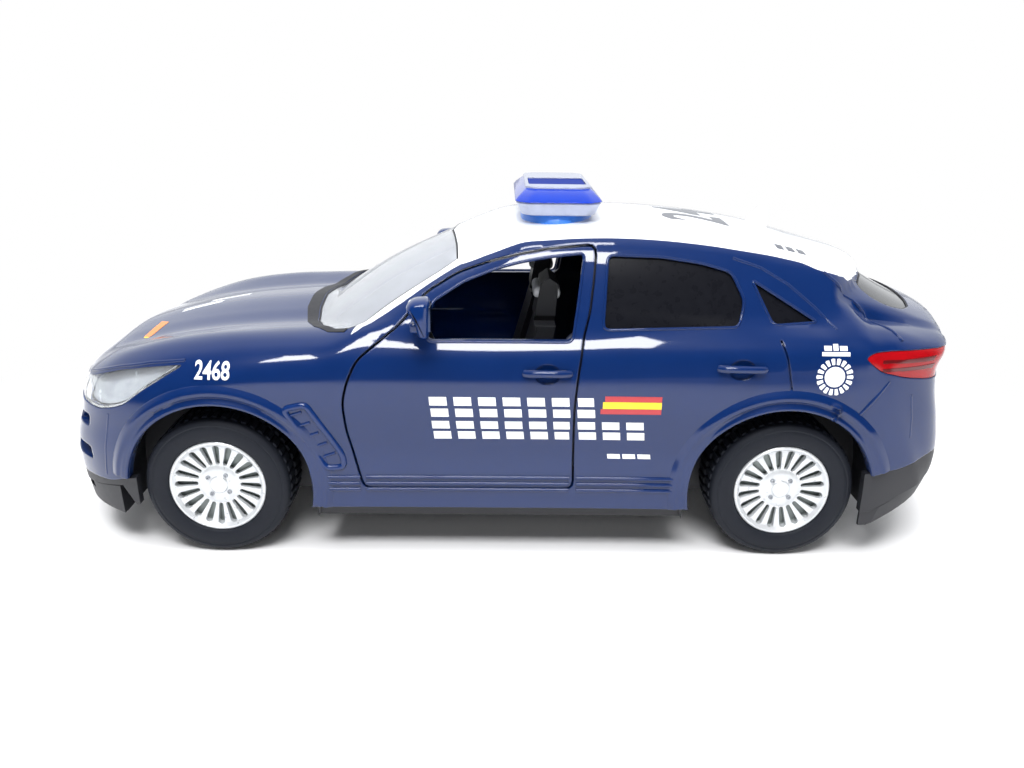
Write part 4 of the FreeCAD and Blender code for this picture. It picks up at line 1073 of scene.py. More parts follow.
DOOR = rounded([(17.15, 9.8), (18.1, 13.5), (19.0, 17.4), (19.3, 21.2), (18.7, 23.7), (17.5, 26.3), (15.4, 27.9),
                (12.4, 30.2), (9.4, 33.6), (5.4, 35.9), (1.2, 37.4), (-2.1, 38.25), (-5.6, 38.85), (-11.4, 39.35),
                (-11.1, 36.0), (-10.6, 32.0), (-9.8, 29.0), (-9.1, 24.1), (-8.8, 20.4), (-9.0, 9.8)], 1.0, 3)
DOOR_WINDOW = rounded([(9.2, 28.4), (8.7, 32.8), (4.8, 35.2), (0.9, 36.7), (-2.1, 37.5), (-5.6, 38.1), (-10.1, 38.6),
                       (-9.3, 33.0), (-8.6, 28.5)], 0.8, 4)
REAR_WINDOW = rounded([(-12.3, 29.9), (-12.9, 38.4), (-19.5, 38.2), (-24.6, 37.5), (-28.3, 36.5), (-29.8, 33.3),
                       (-29.0, 30.4)], 0.9, 4)
QUARTER_WINDOW = rounded([(-30.7, 35.7), (-33.2, 30.6), (-38.8, 30.9)], 0.7, 4)
WINDSCREEN = both_halves([(25.2, 0.0), (24.9, 6.0), (24.1, 11.6), (22.8, 15.6), (20.9, 18.0), (18.9, 19.0),
                          (17.9, 18.9), (16.3, 18.0), (13.5, 16.95), (10.8, 15.95), (7.9, 14.75), (5.6, 13.5),
                          (5.9, 9.0), (6.9, 0.0)])
COWL = both_halves([(27.0, 0.0), (26.7, 6.0), (25.5, 11.9), (23.8, 16.0), (21.6, 18.6), (19.4, 19.6), (19.0, 19.1),
                    (20.95, 18.1), (22.85, 15.65), (24.2, 11.65), (25.0, 6.05), (25.3, 0.0)])
# The navy windscreen pillar's edge along the glass, painted as a white strip: a painted highlight laid as a film.
PILLAR_HIGHLIGHT = [(18.4, 20.3), (15.4, 18.65), (12.1, 17.65), (8.6, 16.15), (6.6, 15.35), (4.2, 14.6), (4.6, 13.4),
                (5.65, 13.62), (7.9, 14.87), (10.8, 16.07), (13.5, 17.07), (16.3, 18.12), (17.9, 19.05)]
BACKLIGHT = rounded(both_halves([(-48.9, 0.0), (-48.0, 7.0), (-45.7, 12.2), (-47.2, 13.7), (-49.6, 14.0),
                                 (-52.0, 13.0), (-53.7, 10.8), (-54.7, 7.2), (-55.6, 0.0)]), 0.9)
HEADLAMP = rounded([(38.6, 25.5), (43.0, 24.9), (47.4, 23.9), (50.2, 23.0), (52.9, 22.0), (60.0, 21.5), (60.0, 19.2),
                    (50.8, 18.9), (48.7, 19.4), (46.6, 20.2), (44.1, 22.1), (41.4, 23.8)], 0.6, 3)
TAIL_LAMP = rounded([(-43.8, 27.4), (-45.8, 25.8), (-49.1, 24.9), (-53.1, 24.3), (-62.0, 24.2), (-62.0, 27.2),
                     (-54.3, 28.1), (-48.1, 28.3), (-44.8, 28.1)], 0.8, 3)
GRILLE = rounded([(-9.0, 20.9), (9.0, 20.9), (10.0, 18.5), (7.6, 13.6), (-7.6, 13.6), (-10.0, 18.5)], 0.8)
BASE_TOP = [(-70.0, 14.0), (-58.5, 12.6), (-47.0, 7.0), (46.5, 7.0), (48.0, 9.3), (59.0, 7.0), (70.0, 5.0)]
REAR_VALANCE = [(-70.0, 15.1), (-58.5, 15.0), (-54.9, 14.4), (-50.1, 12.9), (-45.8, 12.3)]
FRONT_VALANCE = [(45.8, 10.8), (47.4, 10.4), (49.7, 9.7), (54.2, 9.5), (58.5, 9.8), (80.0, 9.8)]
FOG_SLOTS = [[(13.2, 11.9), (19.6, 11.9), (19.3, 13.6), (14.0, 13.9)],
             [(15.2, 15.9), (18.6, 16.0), (18.3, 17.6), (15.9, 17.4)]]
VENT = rounded([(26.6, 20.4), (23.9, 21.0), (19.9, 14.2), (19.6, 12.5), (21.9, 12.3)], 0.7, 4)


def pushed(outline: Sequence[Point2], side: Side, near: float) -> bpy.types.Object:
    """A cutter through one side of the car."""
    return outline_prism("cutter", outline, Axis.Y, *sorted((near * side.value, 32.0 * side.value)))


@dataclass(frozen=True)
class Casting:
    """The painted casting: body skin, doors, beads and frames."""

    wall: float = 1.25
    gap: float = 0.28
    sill_lines: tuple = (9.5, 10.3, 11.1)
    rear_seam: tuple = ((-33.8, 29.2), (-34.5, 27.2), (-35.3, 22.9))
    flare_rows: tuple = ((11.62, 0.22), (11.7, 0.38), (11.9, 0.46), (12.1, 0.40), (12.3, 0.12), (12.6, 0.08),
                         (12.85, 0.32), (13.1, 0.42), (13.4, 0.38), (13.7, 0.22), (14.0, 0.06), (14.25, -0.08))
    creases: tuple = (((-28.5, 38.0), (-32.0, 36.9), (-35.4, 35.0), (-38.4, 32.6), (-40.9, 30.2)),
                      ((-47.0, 24.6), (-45.4, 22.4), (-43.9, 20.4)),
                      ((-50.4, 22.6), (-50.9, 19.6), (-51.0, 17.0)),
                      ((49.0, 18.6), (49.8, 14.6), (50.3, 10.4)))
    pillar_crease: tuple = ((-40.1, 15.5, 36.4), (-41.6, 16.0, 35.0), (-43.9, 15.9, 33.1), (-45.7, 16.4, 31.5),
                            (-47.0, 17.8, 30.4), (-47.9, 19.9, 29.6), (-48.5, 21.0, 29.1))
    brow: tuple = ((38.4, 25.95), (43.0, 25.3), (47.4, 24.25), (50.2, 23.35), (52.8, 22.4))
    front_handle: Point2 = (-5.55, 25.0)
    rear_handle: Point2 = (-29.1, 25.9)

    def flare(self, x0: float, side: Side) -> bpy.types.Object:
        """The raised band round one arch: edge lip, groove and outer ring."""
        turn = (6.4, 189.5) if x0 > 0 else (-9.5, 165.6)
        rows = 170
        rays = Lattice.ring(x0, side, turn, [r for r, _ in self.flare_rows], rows)
        angle = np.linspace(*turn, rows)
        fade = np.clip((np.abs(angle - 90.0) - 26.0) / 52.0, 0, 1)
        fade = fade * fade * (3 - 2 * fade)
        lift = np.array([h for _, h in self.flare_rows])
        filled = lift.copy()
        filled[4:6] = 0.42
        height = lift[None, :] * (1 - fade[:, None]) + filled[None, :] * fade[:, None]
        return slab(f"arch_flare_{'front' if x0 > 0 else 'rear'}_{side.word}", rays, -height, 0.9)

    def body(self) -> bpy.types.Object:
        """Builds the body skin with every opening cut."""
        skin, room = form_blocks(self.wall)
        for piece in (skin, room):
            piece.data.materials.append(body_paint())
            piece.data.materials.append(DARK.make())
        room.data.polygons.foreach_set("material_index", [1] * len(room.data.polygons))
        split = [*REAR_VALANCE, (-45.8, 7.0), (45.8, 7.0), *FRONT_VALANCE, (80.0, -9.0), (-70.0, -9.0)]
        cut(skin, outline_prism("cutter", split, Axis.Y, -40, 40), Keep.OUTSIDE)
        cut(skin, room, Keep.OUTSIDE)
        arches = []
        for x in (ARCH_X, -ARCH_X):
            for side in Side:
                bpy.ops.mesh.primitive_cylinder_add(vertices=FINE.turn, radius=ARCH_R * MM, depth=20 * MM,
                                                    location=(x * MM, 22 * side.value * MM, AXLE_Z * MM),
                                                    rotation=(math.pi / 2, 0, 0))
                arches.append(place(bpy.context.object))
        cut(skin, joined(arches, "arches"), Keep.OUTSIDE)
        holes = [outline_prism("cutter", WINDSCREEN, Axis.Z, 26, 50),
                 outline_prism("cutter", BACKLIGHT, Axis.Z, 27, 36.2),
                 outline_prism("cutter", GRILLE, Axis.X, 50, 66)]
        for turn in (1, -1):
            for slot in FOG_SLOTS:
                holes.append(outline_prism("cutter", rounded([(y * turn, z) for y, z in slot], 0.45), Axis.X, 48, 66))
        cut(skin, joined(holes, "holes"), Keep.OUTSIDE)
        openings = ((shifted(DOOR, self.gap), 13.0), (REAR_WINDOW, 10.0), (QUARTER_WINDOW, 10.0), (HEADLAMP, 11.0),
                    (TAIL_LAMP, 11.5))
        holes = [pushed(outline, side, near) for side in Side for outline, near in openings]
        cut(skin, joined(holes, "holes"), Keep.OUTSIDE)
        grooves = []
        for side in Side:
            grooves += [self.groove(self.rear_seam, side, 0.13, 0.45), self.dish(*self.rear_handle, side)]
        cut(skin, joined(grooves, "grooves"), Keep.OUTSIDE)
        smooth(skin, 38)
        return ridden(skin, "navy_paint", "car", "body_shell")

    def trims(self) -> None:
        """The pillar creases, the tailgate shut line drawn as a black line of painted shade, the blank rear plate and
        the frame of the grille.
        """
        for side in Side:
            knots = np.array(self.pillar_crease) * np.array([1.0, side.value, 1.0])
            run = np.linspace(0, len(knots) - 1, 40)
            line = np.stack([np.interp(run, np.arange(len(knots)), knots[:, i]) for i in range(3)], 1)
            inner = np.array([-38.0, 8.0 * side.value, 26.0])
            out = (line - inner) / np.linalg.norm(line - inner, axis=1)[:, None]
            line = FORM.along(np.tile(inner, (len(line), 1)), out, 30.0, 0.06)
            finish(tube(f"pillar_crease_{side.word}", line, 0.22, False), NAVY, "car")
            brow = self.bead(f"headlamp_brow_{side.word}", self.brow, side, 0.24, 0.05)
            finish(brow, NAVY, "car")
        half = [(0.0, 17.2), (13.6, 17.2), (15.0, 18.6), (14.7, 23.4), (11.25, 24.1), (11.2, 28.4)]
        # The tailgate's shut line is a thin black tube on the paint: painted shade standing in for the dark of the gap.
        seam = FORM.on_end(even([(-y, z) for y, z in half[::-1]] + half[1:], 0.9, False), -1, 0.07)
        finish(tube("tailgate_shade_line", seam, 0.12, False), BLACK, "car")
        plate = slab("rear_plate", Lattice.fan((-34, 0, 20), (160, 200), (-12, 16), 40, 30), -0.25, 0.2)
        shape = rounded([(-6.2, 19.0), (6.2, 19.0), (6.2, 21.8), (-6.2, 21.8)], 0.4)
        finish(smooth(cut(plate, outline_prism("cutter", shape, Axis.X, -70, -40), Keep.INSIDE)), FROST, "car")
        frame = FORM.on_end(even(GRILLE, 0.8), 1, 0.16)
        finish(tube("grille_frame", frame, 0.24, True), NAVY_TRIM, "car")

    def groove(self, line: Sequence[Point2], side: Side, half: float, deep: float) -> bpy.types.Object:
        """A cutter for a shut line that follows the paint."""
        edge = [(x - half, z) for x, z in line] + [(x + half, z) for x, z in reversed(line)]
        return inset_of(edge, side, "groove", -0.6, deep)

    def dish(self, x: float, z: float, side: Side) -> bpy.types.Object:
        """A cutter for the shallow dish behind a handle."""
        spot = FORM.on_side([(x, z)], side, -0.05)[0]
        bpy.ops.object.select_all(action="DESELECT")
        bpy.ops.mesh.primitive_uv_sphere_add(segments=40, ring_count=20, radius=1.0, location=tuple(spot * MM))
        ball = bpy.context.object
        ball.scale = (1.6 * MM, 0.55 * MM, 1.35 * MM)
        return place(ball)

    def handle(self, x: float, z: float, side: Side, body: str, word: str) -> None:
        """A door handle: a slim bar across its dish."""
        line = np.array([(-2.75, 0.0), (-2.3, 0.12), (-1.2, 0.16), (0.0, 0.18), (1.2, 0.16), (2.3, 0.12), (2.75, 0.0)])
        path = FORM.on_side([(x + a, z + b * 0.6) for a, b in line], side, 0.0)
        lift = np.array([-0.15, 0.3, 0.42, 0.45, 0.42, 0.3, -0.15])
        path[:, 1] += lift * side.value
        bar = tube(f"handle_{word}_{side.word}", path, 0.48, False, 4)
        finish(bar, NAVY, body)

    def door(self) -> bpy.types.Object:
        """Builds the left door with its window cut."""
        panel = inset_of(DOOR, Side.LEFT, "door_left_skin", 0.0, self.wall)
        cut(panel, pushed(DOOR_WINDOW, Side.LEFT, 8.0), Keep.OUTSIDE)
        cut(panel, self.dish(*self.front_handle, Side.LEFT), Keep.OUTSIDE)
        return smooth(panel, 38)

    def valances(self) -> None:
        """The black lower bumpers between the base and the paint, round the nose and round the tail."""
        under = [p for p in BASE_TOP if p[0] > 46.0]
        front = FRONT_VALANCE + under[::-1] + [(45.8, 7.0)]
        rear = REAR_VALANCE + [(-45.8, 7.0)] + [p for p in BASE_TOP if p[0] < -46.0][::-1]
        across = 150, 30
        for word, outline, rays in (("front", front, Lattice.fan((34, 0, 10), (-70, 70), (-24, 16), *across)),
                                    ("rear", rear, Lattice.fan((-34, 0, 11), (110, 250), (-24, 24), *across))):
            piece = slab(f"valance_{word}", rays, 0.06, 1.2)
            cut(piece, outline_prism("cutter", shifted(outline, -PANE_GAP), Axis.Y, -40, 40), Keep.INSIDE)
            finish(smooth(piece), BLACK, "car")

    def liner(self, side: Side) -> None:
        """The pillar behind the door's rear shut line."""
        outline = [(-12.6, 12.0), (-12.6, 39.2), (-10.3, 39.2), (-9.5, 32.0), (-9.2, 29.4), (-8.0, 28.4), (-7.8, 12.0)]
        finish(smooth(inset_of(outline, side, f"pillar_{side.word}", 1.6, 2.2)), DARK, "car")

    def bead(self, name: str, line: Sequence[Point2], side: Side, radius: float, depth: float,
             closed: bool = False) -> bpy.types.Object:
        """A raised bead along a line on one side."""
        path = FORM.on_side(even(line, 0.7, closed), side, depth)
        return tube(name, path, radius, closed)

    def hang(self, panel: bpy.types.Object, side: Side) -> None:
        """Paints a door and lets it ride on its body."""
        panel.data.materials.append(body_paint())
        panel.data.materials.append(DARK.make())
        for face in panel.data.polygons:
            face.material_index = 0
        ridden(panel, "navy_paint", f"{side.word}_door", f"door_{side.word}")

    def sill(self, side: Side) -> None:
        """The ribs along the sill, in three runs each."""
        door = f"{side.word}_door"
        for i, z in enumerate(self.sill_lines):
            for word, x0, x1, body in (("rear", -23.1, -9.5, "car"), ("door", -8.6, 17.0, door),
                                       ("front", 17.7, 22.6, "car")):
                rib = self.bead(f"sill_rib_{word}_{i}_{side.word}", [(x0, z), (x1, z)], side, 0.28, 0.0)
                finish(rib, NAVY, body)

    def window_beads(self, side: Side) -> None:
        """The beads round the side windows."""
        for word, outline, body in (("rear_window", REAR_WINDOW, "car"), ("quarter_window", QUARTER_WINDOW, "car"),
                                    ("door_window", DOOR_WINDOW, f"{side.word}_door")):
            finish(self.bead(f"{word}_bead_{side.word}", outline, side, 0.2, 0.06, True), NAVY, body)

    def ridges(self, side: Side) -> None:
        """The arch flares and the creases."""
        for x0 in (ARCH_X, -ARCH_X):
            finish(smooth(self.flare(x0, side), 50), NAVY, "car")
        for i, line in enumerate(self.creases):
            finish(self.bead(f"crease_{i}_{side.word}", line, side, 0.24, 0.15), NAVY, "car")

    def vent(self, side: Side) -> None:
        """The frame and the ribs of the vent behind the front wheel."""
        finish(self.bead(f"vent_frame_{side.word}", VENT, side, 0.42, 0.0, True), NAVY_TRIM, "car")
        for i in range(5):
            x, z = 21.4 + i * 0.93, 13.9 + i * 1.42
            run = [(x - 0.7, z + 0.45), (x + 1.1, z - 0.15)]
            finish(self.bead(f"vent_rib_{i}_{side.word}", run, side, 0.22, 0.05), NAVY_TRIM, "car")

    def build(self) -> None:
        """Builds the casting and its doors."""
        self.body()
        self.valances()
        self.trims()
        door = self.door()
        for side, panel in ((Side.LEFT, door), (Side.RIGHT, mirrored(door, "door_right_skin"))):
            self.hang(panel, side)
            self.liner(side)
            self.sill(side)
            self.window_beads(side)
            self.ridges(side)
            self.handle(*self.front_handle, side, f"{side.word}_door", "front")
            self.handle(*self.rear_handle, side, "car", "rear")
            self.vent(side)


@dataclass(frozen=True)
class Glazing:
    """The screens and windows, and the lamps."""

    def build(self) -> None:
        """Builds every pane and lamp."""
        pane = top_of([shifted(WINDSCREEN, -PANE_GAP)], "windscreen_pane", 0.16, 0.9, FINE.step)
        finish(smooth(pane), CLEAR, "car", "windscreen")
        pane = top_of([shifted(BACKLIGHT, -PANE_GAP)], "rear_pane", 0.2, 0.9, FINE.step)
        finish(smooth(pane), SMOKE, "car", "rear_window")
        cowl = top_of([COWL], "cowl", -0.06, 0.3, FINE.step)
        finish(smooth(cowl), BLACK, "car")
        for name, outline, depth in (("windscreen_seal", shifted(WINDSCREEN, -0.12), 0.1),
                                     ("backlight_seal", shifted(BACKLIGHT, -0.12), 0.12)):
            seal = tube(name, FORM.on_top(even(outline, 0.9), depth), 0.11, True)
            finish(seal, BLACK, "car")
        for side in Side:
            self.side_panes(side)
            self.headlamp(side)
            self.tail_lamp(side)

    def side_panes(self, side: Side) -> None:
        """A white strip along each windscreen pillar, which is a painted highlight, and the dark panes behind the door.
        """
        word = side.word
        outline = [(x, y * side.value) for x, y in PILLAR_HIGHLIGHT][::side.value]
        # Painted highlight: a white film along the pillar stands in for light caught on its edge.
        strip = top_of([outline], f"pillar_painted_highlight_{word}", -0.06, 0.3, FINE.step)
        finish(smooth(strip), WHITE_PRINT_AND_HIGHLIGHT, "car")
        rear = inset_of(shifted(REAR_WINDOW, -PANE_GAP), side, f"rear_side_pane_{word}", 0.32, 1.3)
        quarter = inset_of(shifted(QUARTER_WINDOW, -PANE_GAP), side, "quarter", 0.32, 1.3)
        finish(smooth(joined([rear, quarter], f"side_panes_{word}")), DARK_GLASS, "car", f"side_glazing_{word}")

    def moulding(self, name: str, rays: Lattice, depths: Point2, outline: Sequence[Point2], side: Side,
                 start: float) -> bpy.types.Object:
        """Makes one moulding of a lamp.

        Args:
            name: the piece's name.
            rays: where it is laid.
            depths: its outer and inner depth below the paint.
            outline: the lamp's outline in X and Z.
            side: its side of the car.
            start: how far from the middle of the car it may start.

        Returns:
            The moulding.
        """
        piece = slab(name, rays, *depths)
        return smooth(cut(piece, pushed(shifted(outline, -LAMP_GAP), side, start), Keep.INSIDE))

    def headlamp(self, side: Side) -> None:
        """A clear headlamp over its bright reflector."""
        word = side.word
        turn = (0, 105) if side is Side.LEFT else (-105, 0)
        rays = Lattice.fan((40, 8 * side.value, 18), turn, (-14, 44), 90, 50)
        lens = self.moulding(f"headlamp_lens_{word}", rays, (0.12, 0.9), HEADLAMP, side, 11.05)
        finish(lens, LAMP, "car", f"headlamp_{word}")
        finish(self.moulding(f"headlamp_dish_{word}", rays, (1.5, 2.2), HEADLAMP, side, 11.05), CHROME, "car")

    def tail_lamp(self, side: Side) -> None:
        """A red tail lamp with two darker ribs."""
        word = side.word
        turn = (75, 180) if side is Side.LEFT else (-180, -75)
        rays = Lattice.fan((-42, 8 * side.value, 22), turn, (-14, 40), 90, 50)
        lens = self.moulding(f"tail_lens_{word}", rays, (0.1, 1.3), TAIL_LAMP, side, 11.55)
        finish(lens, RED, "car", f"tail_lamp_{word}")
        ends = sorted((12.0 * side.value, 32.0 * side.value))
        bars = []
        for z in (25.75, 26.75):
            outline = [(-46.0, z + 0.1), (-53.0, z), (-53.4, z + 0.55), (-46.0, z + 0.45)]
            bars.append(outline_prism("bar", outline, Axis.Y, *ends))
        ribs = cut(slab(f"tail_ribs_{word}", rays, 0.04, 0.4), joined(bars, "bars"), Keep.INSIDE)
        finish(smooth(ribs), RED_BAR, "car")


@dataclass(frozen=True)
class Wheel:
    """One wheel: a plated hub with long slots, its barrel and lug bolts, and a treaded tyre."""

    face: float = 22.4
    width: float = 8.0
    hub: float = 6.1
    tyre: float = 9.3
    slots: int = 20
    blocks: int = 48

    def disc(self) -> bpy.types.Object:
        """Builds the slotted face of the hub at the origin, facing +Y."""
        f = self.face
        rows = [(0.0, f - 0.75), (1.05, f - 0.75), (1.2, f - 0.9), (2.1, f - 0.9), (2.35, f - 1.0), (2.6, f - 1.12),
                (4.2, f - 0.95), (5.35, f - 0.72), (5.55, f - 0.55), (5.75, f - 0.32), (5.95, f - 0.3),
                (self.hub, f - 0.42), (self.hub, f - 2.2), (5.6, f - 2.2), (5.5, f - 1.5), (2.4, f - 1.7),
                (0.0, f - 1.7)]
        disc = spun("hub_face", rows, Vector((0, 0, 0)), FINE.turn)
        cutters = []
        for i in range(self.slots):
            angle = math.tau * (i + 0.5) / self.slots
            outline = []
            for radius, half, start in ((5.08, 0.42, -90), (2.95, 0.27, 90)):
                for k in range(7):
                    a = math.radians(start + 30 * k)
                    outline.append((radius + half * math.cos(a), half * math.sin(a)))
            turned = [(u * math.cos(angle) - v * math.sin(angle), u * math.sin(angle) + v * math.cos(angle))
                      for u, v in outline]
            cutters.append(outline_prism("slot", turned, Axis.Y, f - 4, f + 1))
        return cut(disc, joined(cutters, "slots"), Keep.OUTSIDE)

    def bolts(self) -> bpy.types.Object:
        """Builds the four lug bolts and the seam of the centre cap."""
        f, parts = self.face, []
        rows = [(0.0, f - 0.78), (0.12, f - 0.78), (0.15, f - 0.66), (0.25, f - 0.66), (0.3, f - 0.75), (0.3, f - 1.1),
                (0.0, f - 1.1)]
        for i in range(4):
            angle = math.radians(45 + 90 * i)
            spot = Vector((1.62 * math.cos(angle), 0, 1.62 * math.sin(angle)))
            parts.append(spun("bolt", rows, spot, 16))
        return joined(parts, "lug_bolts")

    def rubber(self) -> bpy.types.Object:
        """Builds the tyre with its side wall rings and tread blocks at the origin."""
        f, w = self.face, self.width
        tread, floor, middle = self.tyre, 8.95, 3.5
        rows = [(self.hub, 1.1), (6.12, 0.5), (6.35, 0.2), (6.7, 0.06), (7.2, 0.0), (7.8, 0.02), (8.15, 0.1),
                (8.24, 0.17), (8.32, 0.17), (8.42, 0.13), (8.75, 0.26), (8.98, 0.5), (9.1, 0.8), (9.12, 1.15),
                (tread, 1.25), (tread, 3.3), (9.02, 3.4), (9.02, 3.9), (tread, 4.0), (tread, w - 1.2), (9.1, w - 1.0),
                (8.8, w - 0.4), (7.8, w), (self.hub, w - 0.2)]
        steps = self.blocks * 4
        points, faces = [], []
        for k in range(steps):
            angle = math.tau * k / steps
            for radius, inward in rows:
                low = radius == tread and (k + (2 if inward > middle else 0)) % 4 >= 3
                r = floor if low else radius
                points.append((r * math.cos(angle), f - inward, r * math.sin(angle)))
        count = len(rows)
        for k in range(steps):
            after = (k + 1) % steps
            for j in range(count):
                i = (j + 1) % count
                faces.append((k * count + j, k * count + i, after * count + i, after * count + j))
        return smooth(mesh_object("tyre_rubber", np.array(points), faces), 30)

    def build(self) -> None:
        """Builds one wheel of pieces and puts a copy on each axle end."""
        disc, f = smooth(self.disc(), 28), self.face
        barrel = spun("barrel", [(0.0, f - 1.95), (5.4, f - 1.85), (5.58, f - 1.6), (5.6, f - 7.2), (6.08, f - 7.4),
                                 (6.08, f - 2.15), (5.62, f - 1.95)], Vector((0, 0, 0)), FINE.turn, True)
        pieces = {"hub_face": (disc, SILVER), "hub_barrel": (barrel, BARREL), "lug_bolts": (self.bolts(), LUG),
                  "tyre_rubber": (self.rubber(), TYRE)}
        for end, x in (("front", WHEEL_X), ("rear", -WHEEL_X)):
            for side in Side:
                for word, (model, look) in pieces.items():
                    copy = twin(model, f"{word}_{end}_{side.word}")
                    turn = Matrix.Rotation(math.radians(0 if side is Side.LEFT else 180), 4, "Z")
                    tilt = Matrix.Rotation(math.radians(8 if end == "front" else 0), 4, "Y")
                    copy.data.transform(Matrix.Translation((x * MM, 0, AXLE_Z * MM)) @ turn @ tilt)
                    stands = {"hub_face": f"hub_{end}_{side.word}", "tyre_rubber": f"tyre_{end}_{side.word}"}.get(word)
                    finish(copy, look, f"{end}_wheels", *([stands] if stands else []))
        for model, _ in pieces.values():
            bpy.data.objects.remove(model)


def octagon(a: float, b: float, corner: float, round_by: float = 0.5) -> list[Point2]:
    """An octagon about the light bar's middle, by its half width, half length and corner."""
    ring = [(a, b - corner), (a - corner, b), (-a + corner, b), (-a, b - corner),
            (-a, -b + corner), (-a + corner, -b), (a - corner, -b), (a, -b + corner)]
    return rounded([(x - 7.1, y) for x, y in ring], round_by, 3)


def lofted(name: str, rings: Sequence[Sequence[Point3]]) -> bpy.types.Object:
    """Joins outlines of equal length into one closed solid.

    Args:
        name: the piece's name.
        rings: outlines in millimetres, from one end of the solid to the other.

    Returns:
        The solid.
    """
    count, last = len(rings[0]), (len(rings) - 1) * len(rings[0])
    faces: list[tuple[int, ...]] = [tuple(range(count)), tuple(range(last, last + count))]
    for low in range(0, last, count):
        for i in range(count):
            k = (i + 1) % count
            faces.append((low + i, low + k, low + count + k, low + count + i))
    return mesh_object(name, np.array([spot for ring in rings for spot in ring]), faces)


def stacked(name: str, rings: Sequence[tuple[Sequence[Point2], float]]) -> bpy.types.Object:
    """Joins level outlines, each with its height, into one closed solid, from the bottom up."""
    return lofted(name, [[(x, y, z) for x, y in outline] for outline, z in rings])


@dataclass(frozen=True)
class LightBar:
    """The roof light bar: a foot with a painted blue glow, frosted band, blue lens and top plate."""

    foot: float = 42.2
    waist: float = 43.9
    top: float = 45.7

    def build(self) -> None:
        """Builds the bar's pieces."""
        z, waist, top = self.foot, self.waist, self.top
        # The foot glows faintly: painted light standing in for blue light through the lens.
        foot = stacked("light_bar_foot", [(octagon(4.9, 10.5, 3.0, 2.2), 40.9), (octagon(4.6, 10.2, 3.0, 2.2), z - 0.3),
                                          (octagon(4.2, 9.8, 2.6, 2.0), z + 0.15)])
        finish(smooth(foot), GLOWING_BLUE, "car")
        band = stacked("light_bar_band", [(octagon(4.5, 10.4, 1.2), z), (octagon(4.75, 10.65, 1.25), z + 0.12),
                                          (octagon(5.45, 11.35, 1.45), waist - 0.15),
                                          (octagon(5.4, 11.3, 1.45), waist + 0.02)])
        finish(smooth(band), FROST, "car", "light_bar_base")
        rings = [(octagon(5.45, 11.35, 1.5), waist), (octagon(5.6, 11.5, 1.5), waist + 0.1),
                 (octagon(5.3, 11.1, 1.5), waist + 0.5), (octagon(4.2, 8.9, 1.2), top - 0.3)]
        lens = stacked("light_bar_lens_ring", rings)
        finish(smooth(lens), BLUE, "car", "light_bar_lens")
        plate = stacked("light_bar_plate", [(octagon(4.2, 8.8, 1.2), top - 0.6), (octagon(4.26, 8.86, 1.2), top - 0.1),
                                            (octagon(4.1, 8.7, 1.15), top)])
        well = rounded([(-10.9, -1.6), (-3.3, -1.6), (-3.3, 6.1), (-10.9, 6.1)], 0.4)
        cut(plate, outline_prism("cutter", well, Axis.Z, top - 0.22, top + 1), Keep.OUTSIDE)
        finish(smooth(plate), FROST, "car")
        well = rounded([(-10.85, -1.55), (-3.35, -1.55), (-3.35, 6.05), (-10.85, 6.05)], 0.4)
        panel = outline_prism("light_bar_panel", well, Axis.Z, top - 0.3, top - 0.12)
        finish(smooth(panel), DEEP_BLUE, "car")


def box(name: str, low: tuple, high: tuple, radius: float, segments: int = 3) -> bpy.types.Object:
    """Makes a box between two corners in millimetres, with rounded edges."""
    bpy.ops.object.select_all(action="DESELECT")
    middle = [(a + b) / 2 * MM for a, b in zip(low, high)]
    bpy.ops.mesh.primitive_cube_add(size=1, location=middle)
    obj = bpy.context.object
    obj.name = name
    obj.scale = [(b - a) * MM for a, b in zip(low, high)]
    place(obj)
    apply_modifier(obj, "BEVEL", width=radius * MM, segments=segments, limit_method="NONE")
    return smooth(obj, 40)


def leaned(obj: bpy.types.Object, degrees: float, centre: tuple) -> bpy.types.Object:
    """Turns a piece about an axis along Y through a point in millimetres."""
    middle = Matrix.Translation(Vector(centre) * MM)
    obj.data.transform(middle @ Matrix.Rotation(math.radians(degrees), 4, "Y") @ middle.inverted())
    return obj


@dataclass(frozen=True)
class DoorMirror:
    """A door mirror: a tapered housing with a crease, its arm and its glass."""

    outline: tuple = ((11.3, 33.7), (10.5, 34.6), (8.3, 34.8), (8.45, 30.1), (9.8, 30.15), (10.15, 32.2))
    rings: tuple = ((22.4, -0.75), (22.55, -0.4), (22.9, -0.15), (23.5, 0.0), (25.0, 0.0), (25.8, -0.12), (26.2, -0.32),
                    (26.42, -0.6))

    def build(self) -> None:
        """Builds both mirrors."""
        rings = [[(x, y, z) for x, z in shifted(rounded(self.outline, 0.9, 4), by)] for y, by in self.rings]
        head = smooth(lofted("mirror_housing_left", rings), 40)
        arm = box("mirror_arm_left", (8.9, 20.4, 30.1), (11.0, 23.2, 31.3), 0.3)
        glass = box("mirror_glass_left", (8.26, 23.2, 31.0), (8.7, 25.8, 34.0), 0.1)
        pieces = {"mirror_housing": (head, NAVY_TRIM), "mirror_arm": (arm, NAVY_TRIM), "mirror_glass": (glass, MIRROR)}
        for word, (piece, look) in pieces.items():
            other = mirrored(piece, f"{word}_right")
            stands = word == "mirror_housing"
            finish(piece, look, "left_door", *(["mirror_left"] if stands else []))
            finish(other, look, "right_door", *(["mirror_right"] if stands else []))


def digits(text: str, height: float, depth: float) -> bpy.types.Object:
    """Makes plain digits as a closed solid standing in X and Y at the origin."""
    bpy.ops.object.select_all(action="DESELECT")
    bpy.ops.object.text_add()
    obj = bpy.context.object
    obj.data.body = text
    obj.data.align_x = "CENTER"
    obj.data.align_y = "CENTER"
    obj.data.size = height * 1.4 * MM
    obj.data.offset = height * 0.025 * MM
    obj.data.extrude = depth * MM
    obj.data.resolution_u = 4
    only(obj)
    bpy.ops.object.convert(target="MESH")
    return outward(bpy.context.object)


